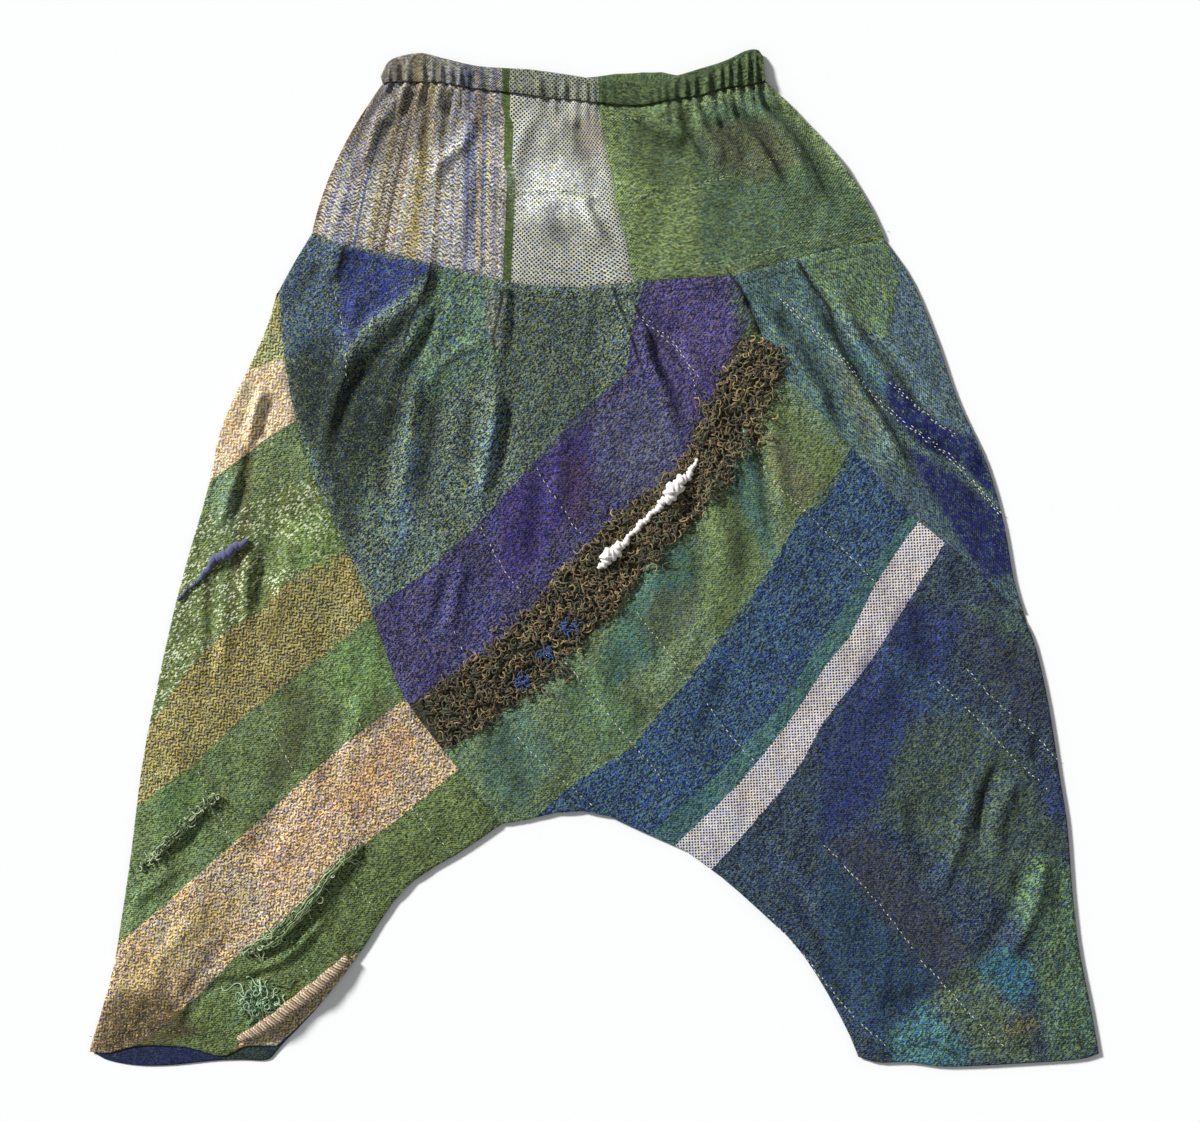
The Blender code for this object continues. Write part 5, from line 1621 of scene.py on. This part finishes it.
@dataclass
class LoopFringe(YarnPiece):
    """The band of long loops that stand up from the cloth: a place along it and its width."""

    table: Run = (
        (0.160, 0.196, 0.034), (0.136, 0.148, 0.056), (0.116, 0.102, 0.052), (0.079, 0.057, 0.044),
        (0.038, 0.017, 0.054), (0.001, -0.022, 0.058), (-0.045, -0.071, 0.060),
        (-0.096, -0.116, 0.056), (-0.147, -0.150, 0.050))
    loops: int = 1900
    radius: float = 0.00060
    points: int = 9
    colours: tuple[Colour, ...] = (
        srgb(84, 72, 48), srgb(120, 102, 66), srgb(50, 42, 28), srgb(146, 126, 82), srgb(100, 92, 62),
        srgb(66, 64, 50), srgb(108, 82, 50), srgb(74, 78, 50))
    tufts: Run = ((-0.043, -0.087), (-0.067, -0.112), (-0.022, -0.062))
    tuft_colour: Colour = srgb(52, 76, 128)

    def shape(self, draw: np.random.Generator) -> np.ndarray:
        """The run of one loop about its own root, curled as relaxed yarn is."""
        t = np.linspace(0.0, 1.0, self.points)
        curl, phase = draw.uniform(0.7, 1.5), draw.uniform(0, math.tau)
        width, length = draw.uniform(0.0016, 0.0034), draw.uniform(0.004, 0.010)
        return np.column_stack([
            length * (t - 0.5) + width * 0.5 * np.sin(math.tau * curl * t + phase),
            width * np.cos(math.tau * curl * t + phase),
            draw.uniform(0.0020, 0.0048) * np.sin(math.pi * t) + 0.0004])

    def build(self, clear: Run) -> bpy.types.Object:
        """Model the loops.

        Args:
            clear: a run along which the loops lie low, under the white yarn.

        Returns:
            All the loops as one piece.
        """
        draw = np.random.default_rng(11)
        shapes = [tube(self.shape(draw), np.full(self.points, self.radius), 4) for _ in range(24)]
        run = smooth_run(self.table, 200)
        normal = beside(run[:, :2], 1.0) - run[:, :2]
        spots = draw.integers(0, len(run), self.loops)
        across = draw.uniform(-0.5, 0.5, self.loops)
        across += np.where(draw.uniform(0, 1, self.loops) < 0.10, 0.16 * np.sign(across), 0.0)
        ragged = 1.0 + 0.16 * np.sin(spots * 0.35) * np.cos(spots * 0.13)
        places = run[spots, :2] + normal[spots] * (across * run[spots, 2] * ragged)[:, None]
        places += draw.normal(0, 0.0015, (self.loops, 2))
        ground = height_at(places)
        low = 0.35 + 0.65 * eased(nearest(places, smooth_run(clear, 30)[:, :2])[0] / 0.012)
        turn = draw.uniform(0, math.tau, self.loops)
        tuft = np.min([np.hypot(*(places - np.array(t)).T) for t in self.tufts], axis=0)
        parts, colours = [], []
        for i in range(self.loops):
            verts, faces = shapes[i % len(shapes)]
            laid = spun(verts, turn[i], low[i]) + (*places[i], ground[i] + self.radius * 0.6)
            parts.append((laid, faces))
            paler = 1.32 - 0.26 * spots[i] / len(run)
            shade = np.array(self.pick(draw)) * draw.uniform(0.6, 1.25) * paler
            colours.append(self.tuft_colour if tuft[i] < 0.008 else tuple(shade))
        piece = gathered("loop_fringe", parts, colours)
        return self.place(piece, DyedYarn("loop_yarn", contrast=0.45), "loop_pile_strip")


@dataclass
class SlubYarn(YarnPiece):
    """A thick and thin yarn with its knots, lying on the cloth: place and radius of each knot."""

    name: str
    node: str
    table: Run
    colours: tuple[Colour, ...]
    pinch: float = 0.45
    wave: float = 0.0032
    rise: float = 0.0006

    def build(self) -> bpy.types.Object:
        """Model the yarn with the pinches that its twist makes.

        Returns:
            The yarn as one piece.
        """
        count = 150
        run = smooth_run(self.table, count)
        length = np.linalg.norm(np.diff(run[:, :2], axis=0), axis=1).sum()
        along = np.linspace(0.0, length, count)
        draw = np.random.default_rng(len(self.name))
        jitter = np.interp(along, np.linspace(0, length, 24), draw.uniform(-1, 1, 24))
        pace = math.tau / self.wave
        squeeze = 1.0 - self.pinch * (0.5 + 0.5 * np.cos(along * pace + 2.2 * jitter)) ** 2
        radii = run[:, 2] * squeeze * (1.0 + 0.16 * jitter)
        sway = beside(run[:, :2], 1.0) - run[:, :2]
        plan = run[:, :2] + sway * (0.35 * run[:, 2] * np.sin(along * pace * 0.23 + jitter))[:, None]
        z = height_at(plan) + self.rise + run[:, 2] * 0.85
        parts = [tube(np.column_stack([plan, z]), radii, 10)]
        colours = [self.colours[0]]
        for k in range(len(self.colours) - 1):
            part = slice(int(count * (0.55 + 0.15 * k)), None)
            twist = np.column_stack([plan[part], z[part]]) + np.column_stack([
                sway[part] * (run[part, 2] * 0.5 * np.sin(along[part] * pace * 0.5))[:, None],
                0.3 * run[part, 2] * np.cos(along[part] * pace * 0.5)])
            parts.append(tube(twist, radii[part] * 0.8, 8))
            colours.append(self.colours[k + 1])
        finish = DyedYarn(self.name + "_fibre", contrast=0.25)
        return self.place(gathered(self.name, parts, colours), finish, self.node)


@dataclass
class FloatBundle(YarnPiece):
    """Weft yarns that float loose over the cloth, with ends that hang free."""

    name: str
    node: str
    table: Run
    colours: tuple[Colour, ...]
    strands: int = 14
    tails: int = 12
    curls: int = 90
    radius: float = 0.00052

    def build(self) -> bpy.types.Object:
        """Model the floating strands and their loose ends.

        Returns:
            The bundle as one piece.
        """
        draw = np.random.default_rng(len(self.name) + self.strands)
        run = smooth_run(self.table, 40)
        side = beside(run[:, :2], 1.0) - run[:, :2]
        parts, colours = [], []
        for _ in range(self.strands):
            first, last = sorted(draw.integers(0, 40, 2))
            if last - first < 12:
                first, last = max(0, first - 8), min(39, first + 14)
            share = slice(first, last + 1)
            t = np.linspace(0.0, 1.0, last - first + 1)
            off = (run[share, 2] * draw.uniform(-1.0, 1.0)
                   + 0.0007 * np.sin(draw.uniform(20, 40) * t + draw.uniform(0, 6)))
            plan = run[share, :2] + side[share] * off[:, None]
            rise = run[share, 2] * draw.uniform(0.2, 1.7) * np.sin(math.pi * t) ** 0.5
            parts.append(tube(np.column_stack([plan, height_at(plan) + rise + self.radius]),
                              np.full(len(t), self.radius * draw.uniform(0.8, 1.3)), 6))
            colours.append(self.pick(draw))
        for _ in range(self.tails):
            root = run[draw.integers(2, 38)]
            heading, bend = draw.uniform(-2.6, -0.6), draw.uniform(-2.2, 2.2)
            steps = np.linspace(0.0, 1.0, 14)
            angle = heading + bend * steps + 0.5 * np.sin(9 * steps + draw.uniform(0, 6))
            stride = draw.uniform(0.008, 0.020) / 13
            plan = root[:2] + np.cumsum(np.column_stack([np.cos(angle), np.sin(angle)]) * stride, axis=0)
            z = height_at(plan) + self.radius + 0.0012 * np.sin(math.pi * steps) + root[2] * (1 - steps)
            parts.append(tube(np.column_stack([plan, z]), self.radius * np.linspace(1.1, 0.6, 14), 6))
            colours.append(self.pick(draw))
        steps = np.linspace(0.0, 1.0, 12)
        for root in run[draw.integers(1, 39, self.curls)]:
            turn = draw.uniform(0, math.tau) + draw.uniform(-7.5, 7.5) * steps
            size = root[2] * draw.uniform(0.35, 0.95)
            plan = (root[:2] + draw.normal(0, 0.55 * root[2], 2)
                    + size * np.column_stack([np.cos(turn), np.sin(turn)]) + 0.4 * size * steps[:, None])
            rise = root[2] * draw.uniform(1.1, 2.1)
            z = height_at(plan) + self.radius + rise * np.sin(math.pi * steps) ** 0.5
            parts.append(tube(np.column_stack([plan, z]), np.full(12, self.radius * 0.9), 6))
            colours.append(self.pick(draw))
        return self.place(gathered(self.name, parts, colours), DyedYarn(self.name + "_fibre"), self.node)


@dataclass
class ThreadTangle(YarnPiece):
    """A small tangle of pulled threads."""

    centre: tuple[float, float] = (-0.3055, -0.4055)
    size: tuple[float, float, float] = (0.032, 0.026, 0.008)
    threads: int = 56
    radius: float = 0.00046
    colours: tuple[Colour, ...] = (
        srgb(164, 194, 158), srgb(126, 162, 122), srgb(190, 210, 178), srgb(92, 124, 84))

    def build(self) -> bpy.types.Object:
        """Model the threads, each a curly run through the tangle.

        Returns:
            The tangle as one piece.
        """
        draw = np.random.default_rng(5)
        parts, colours = [], []
        for _ in range(self.threads):
            t = np.linspace(0.0, 1.0, 26)
            angle = (draw.uniform(0, math.tau) + draw.uniform(-12.0, 12.0) * t
                     + 1.3 * np.sin(draw.uniform(5, 12) * t + draw.uniform(0, 6)))
            stride = draw.uniform(0.014, 0.040) / 25
            start = np.array(self.centre) + draw.uniform(-0.42, 0.42, 2) * self.size[:2]
            plan = start + np.cumsum(np.column_stack([np.cos(angle), np.sin(angle)]) * stride, axis=0)
            lift = 0.5 + 0.5 * np.sin(draw.uniform(3.0, 9.0) * t + draw.uniform(0, 6))
            z = height_at(plan) + self.radius + self.size[2] * 0.45 * lift * np.sin(math.pi * t)
            parts.append(tube(np.column_stack([plan, z]), np.full(26, self.radius), 6))
            colours.append(self.pick(draw))
        tangle = gathered("thread_tangle", parts, colours)
        return self.place(tangle, DyedYarn("tangle_fibre"), "green_thread_tangle")


class Stitch(Enum):
    """How a line of stitches goes."""

    DASH = "dash"
    DOUBLE = "double"
    CHAIN = "chain"
    SEAM = "seam"


@dataclass
class StitchLines(YarnPiece):
    """Lines of stitches on the cloth: their runs, kind and colours."""

    name: str
    kind: Stitch
    runs: Sequence[np.ndarray]
    colours: tuple[Colour, ...]
    spacing: float = 0.0052
    length: float = 0.0030
    radius: float = 0.00042
    skipped: float = 0.12

    def build(self) -> bpy.types.Object:
        """Model one stitch and lay copies of it along the runs.

        Returns:
            All the stitches as one piece.
        """
        draw = np.random.default_rng(len(self.runs) + len(self.name))
        t = np.linspace(-0.5, 0.5, 5)
        swell = self.radius * np.sqrt(np.clip(1.02 - (2 * t) ** 2, 0.06, 1.0))
        base, faces = tube(np.column_stack([t * self.length, t * 0.0, 0.0006 * (0.25 - t ** 2)]), swell, 6)
        double = self.kind in (Stitch.DOUBLE, Stitch.CHAIN)
        spots, angles = [], []
        for run in self.runs:
            reach = np.linalg.norm(np.diff(run, axis=0), axis=1).sum()
            line = smooth_run(run, max(2, int(reach / self.spacing)))
            step = np.gradient(line, axis=0)
            heading = np.arctan2(step[:, 1], step[:, 0])
            for side in (-0.0011, 0.0011) if double else (0.0,):
                shift = (side + draw.normal(0, 0.0003, len(line)))[:, None]
                spots.append(line + shift * np.column_stack([-np.sin(heading), np.cos(heading)])
                             + draw.normal(0, 0.0004, line.shape))
                lean = draw.normal(0, 0.08, len(line))
                slant = 0.45 * math.copysign(1, side)
                angles.append(heading + (slant if self.kind is Stitch.CHAIN else lean))
        places, turns = np.vstack(spots), np.concatenate(angles)
        kept = draw.uniform(0, 1, len(places)) > self.skipped
        places, turns = places[kept], turns[kept]
        heights = height_at(places) + self.radius * 0.25
        parts, colours = [], []
        for place, angle, height in zip(places, turns, heights):
            laid = spun(base * (draw.uniform(0.55, 1.25), 1.0, 1.0), angle)
            parts.append((laid + (*place, height), faces))
            colours.append(self.pick(draw))
        finish = DyedYarn(self.name + "_thread", contrast=0.2)
        return self.place(gathered(self.name, parts, colours), finish, None)


@dataclass
class RolledEdge(YarnPiece):
    """The rolled raw edge at the left hem, wrapped by its own tan yarn."""

    table: Run = (
        (-0.226, -0.366, 0.0027), (-0.240, -0.380, 0.0043), (-0.256, -0.394, 0.0049),
        (-0.274, -0.408, 0.0051), (-0.292, -0.422, 0.0049), (-0.310, -0.433, 0.0041),
        (-0.326, -0.441, 0.0024))
    colours: tuple[Colour, ...] = (
        srgb(210, 194, 168), srgb(132, 104, 78), srgb(178, 152, 120), srgb(96, 76, 56))
    strands: int = 6
    wrap: float = 0.0080

    def build(self) -> bpy.types.Object:
        """Model the strands that wind round each other.

        Returns:
            The rolled edge as one piece.
        """
        run = smooth_run(self.table, 90)
        length = np.linalg.norm(np.diff(run[:, :2], axis=0), axis=1).sum()
        side = beside(run[:, :2], 1.0) - run[:, :2]
        along = np.linspace(0.0, length, len(run))
        parts, colours = [], []
        for k in range(self.strands):
            turn = math.tau * (along / self.wrap + k / self.strands)
            plan = run[:, :2] + side * (0.95 * run[:, 2] * np.cos(turn))[:, None]
            z = height_at(run[:, :2]) + run[:, 2] * (0.85 + 0.45 * np.sin(turn))
            parts.append(tube(np.column_stack([plan, z]), run[:, 2] * 0.42, 8))
            colours.append(self.colours[k % len(self.colours)])
        edge = gathered("rolled_edge", parts, colours)
        return self.place(edge, DyedYarn("rolled_fibre"), "tan_rolled_edge")


# The whole


@dataclass
class Studio:
    """A pale floor, soft light from the upper left and the camera straight above."""

    middle: tuple[float, float] = (0.0055, -0.0023)
    distance: float = 2.2
    frame_width: float = 1.104
    floor_size: float = 6.0
    key_from: tuple[float, float, float] = (-0.70, 0.52, 0.48)
    key_strength: float = 4.9
    key_angle: float = 9.0
    sky: float = 0.29

    def build(self) -> None:
        """Set up the floor, the lights and the camera."""
        scene = bpy.context.scene
        deselect()
        bpy.ops.mesh.primitive_grid_add(x_subdivisions=4, y_subdivisions=4, size=self.floor_size,
                                        location=(0.0, 0.0, -0.0005))
        floor = bpy.context.object
        floor.name = "studio_floor"
        g = Graph("paper")
        place = g.node("ShaderNodeTexCoord", {}, {}).socket("Object")
        grain = g.noise(place, 60.0, 2.0)
        floor.data.materials.append(g.surface(srgb(250, 250, 250), grain, 0.00002, 0.95, 0.0))
        world = bpy.data.worlds.new("soft_sky")
        scene.world = world
        world.use_nodes = True
        background = world.node_tree.nodes["Background"]
        background.inputs["Color"].default_value = (0.96, 0.98, 1.0, 1.0)
        background.inputs["Strength"].default_value = self.sky
        self.window()
        data = bpy.data.cameras.new("camera")
        data.sensor_width = 36.0
        data.lens = data.sensor_width * self.distance / self.frame_width
        camera = bpy.data.objects.new("camera", data)
        camera.location = (*self.middle, self.distance)
        scene.collection.objects.link(camera)
        scene.camera = camera
        scene.view_settings.view_transform = "Standard"

    def window(self) -> None:
        """Add the broad soft light, which comes evenly from the upper left."""
        data = bpy.data.lights.new("window", "SUN")
        data.energy = self.key_strength
        data.angle = math.radians(self.key_angle)
        lamp = bpy.data.objects.new("window", data)
        lamp.rotation_euler = (-Vector(self.key_from)).to_track_quat("-Z", "Y").to_euler()
        bpy.context.scene.collection.objects.link(lamp)


class Trousers:
    """The whole garment, built from the back to what lies on the front."""

    def back(self) -> None:
        """Build the back panels."""
        last = len(STATIONS) - 1
        floor = ("studio_floor",)
        for panel in (
            BackPanel("back_left", "back_left_leg", back_leg_plan(False), 41.0, BACK_BLUE,
                      (0.81, 0.57), 0.2345, "laid", floor, HEM_DYE_AND_SHADE),
            BackPanel("back_right", "back_right_leg", back_leg_plan(True), 48.0, BACK_TEAL,
                      (0.59, 0.84), 0.264, "laid", floor),
            BackPanel("yoke_back_panel", "yoke_back", yoke_plan(0, last), 90.0, BACK_GREEN,
                      (0.53, 0.19), 0.0775, "gathered", floor),
            BackPanel("waistband_back_casing", "waistband_back", casing_plan(True), 90.0, BACK_GREEN,
                      (0.36, 0.055), 0.0096, "gathered", floor, cloth=CASING_CLOTH),
        ):
            panel.declare()

    def front(self) -> None:
        """Build the front panels with their stitches, loops and loose yarns."""
        last = len(STATIONS) - 1
        seam = RELIEF.yoke_seam
        under_seam = beside(seam, -UNDER_SEAM)
        hems = (beside(smooth_run(RIGHT_HEM, 40), RIGHT_HEM_DEPTH),
                beside(smooth_run(LEFT_HEM, 40), LEFT_HEM_DEPTH))
        body = FrontPanel(
            "body", "body_front", body_plan(), 48.0, BODY_CLOTH, (0.53, 1.06), 0.335, "laid",
            ("back_left", "back_right"), BODY_DYE_AND_SHADE, edges=BODY_EDGES, stitches=(under_seam, hems[0]))
        leg = FrontPanel(
            "left_leg", "leg_front_left", leg_plan(), 41.0, LEG_CLOTH, (0.60, 0.54), 0.126, "laid",
            ("back_left",), LEG_DYE_AND_SHADE, edges=LEG_EDGES, stitches=(hems[1],))
        hip = FrontPanel(
            "right_hip", "hip_front_right", hip_plan(), -42.0, HIP_CLOTH, (0.41, 0.18), 0.038, "laid",
            ("back_right",), HIP_DYE, stitches=(under_seam,))
        striped = GatheredPanel(
            "yoke_striped", "yoke_front_striped", yoke_plan(0, YOKE_SPLIT), 0.0, STRIPED_CLOTH,
            (0.30, 0.19), 0.0435, "gathered", ("yoke_back_panel",), YOKE_DYE, edges=YOKE_EDGES)
        green = GatheredPanel(
            "yoke_green", "yoke_front_green", yoke_plan(YOKE_SPLIT, last), 0.0, GREEN_CLOTH,
            (0.27, 0.19), 0.035, "gathered", ("yoke_back_panel",), YOKE_DYE)
        casing = GatheredPanel(
            "waistband", "waistband_front", casing_plan(False), 0.0, CASING_CLOTH_FINISH,
            (0.36, 0.055), 0.0092, "gathered", ("waistband_back_casing",), cloth=CASING_CLOTH,
            edges=YOKE_EDGES, lie=CASING_LIE)
        pale, lime, dark = srgb(226, 226, 206), srgb(150, 166, 116), srgb(40, 48, 34)
        body_trims = [
            LoopFringe().build(WHITE_SLUB),
            SlubYarn("white_slub", "white_slub_yarn", WHITE_SLUB, (srgb(240, 232, 228),)).build(),
            StitchLines("cross_dashes", Stitch.DASH, [smooth_run(r, 12) for r in DASHES],
                        (pale, srgb(206, 204, 178), srgb(190, 196, 160))).build(),
        ]
        leg_trims = [
            SlubYarn("blue_slub", "blue_slub_yarn", BLUE_SLUB,
                     (srgb(84, 86, 120), srgb(58, 100, 110), srgb(70, 78, 104)), 0.15, 0.0045).build(),
            FloatBundle("float_upper", "green_float_upper", FLOAT_UPPER, FLOAT_COLOURS, 26, 10).build(),
            FloatBundle("float_lower", "green_float_lower", FLOAT_LOWER, FLOAT_COLOURS, 38, 24).build(),
            ThreadTangle().build(),
            RolledEdge().build(),
            StitchLines("left_hem", Stitch.SEAM, [hems[1]], (dark, lime), 0.0042, 0.0024, 0.0003,
                        0.05).build(),
        ]
        hip_trims = [StitchLines("hip_dashes", Stitch.DOUBLE, [smooth_run(r, 12) for r in HIP_DASHES],
                                 (pale, srgb(196, 196, 170)), 0.0046).build()]
        yoke_trims = [
            StitchLines("yoke_chain", Stitch.CHAIN, [smooth_run(r, 30) for r in YOKE_CHAINS],
                        (lime, srgb(186, 196, 150), srgb(120, 138, 92)), 0.0034, 0.0026, 0.0004).build(),
            StitchLines("yoke_topstitch", Stitch.SEAM, [beside(seam, OVER_SEAM)],
                        (srgb(190, 194, 166), lime), 0.0038, 0.0028, 0.00038, 0.08).build(),
        ]
        body.declare(body_trims)
        leg.declare(leg_trims)
        hip.declare(hip_trims)
        striped.declare(yoke_trims)
        green.declare()
        casing.declare()


WHITE_SLUB = (
    (0.094, 0.091, 0.0015), (0.088, 0.079, 0.0034), (0.078, 0.068, 0.0063), (0.071, 0.060, 0.0068),
    (0.063, 0.051, 0.0039), (0.052, 0.040, 0.0027), (0.044, 0.032, 0.0032), (0.034, 0.022, 0.0024),
    (0.026, 0.013, 0.0041), (0.017, 0.006, 0.0068), (0.011, -0.001, 0.0059), (0.005, -0.009, 0.0020))
BLUE_SLUB = (
    (-0.318, 0.017, 0.0024), (-0.328, 0.009, 0.0042), (-0.341, 0.003, 0.0046), (-0.351, -0.006, 0.0034),
    (-0.360, -0.018, 0.0018), (-0.370, -0.026, 0.0015), (-0.382, -0.038, 0.0012))
FLOAT_UPPER = (
    (-0.344, -0.217, 0.0024), (-0.359, -0.228, 0.0045), (-0.372, -0.241, 0.0039), (-0.385, -0.254, 0.0042),
    (-0.403, -0.271, 0.0033), (-0.418, -0.285, 0.0021))
FLOAT_LOWER = (
    (-0.212, -0.261, 0.0027), (-0.240, -0.287, 0.0039), (-0.257, -0.309, 0.0042), (-0.275, -0.330, 0.0048),
    (-0.292, -0.346, 0.0051), (-0.310, -0.356, 0.0042), (-0.325, -0.362, 0.0027))
FLOAT_COLOURS = (srgb(132, 150, 102), srgb(166, 182, 138), srgb(96, 116, 70), srgb(192, 202, 166),
                 srgb(74, 92, 52))


def main() -> None:
    """Build the studio and the garment."""
    logging.basicConfig(level=logging.INFO, format="%(message)s")
    Studio().build()
    garment = Trousers()
    garment.back()
    garment.front()


if __name__ == "__main__":
    main()
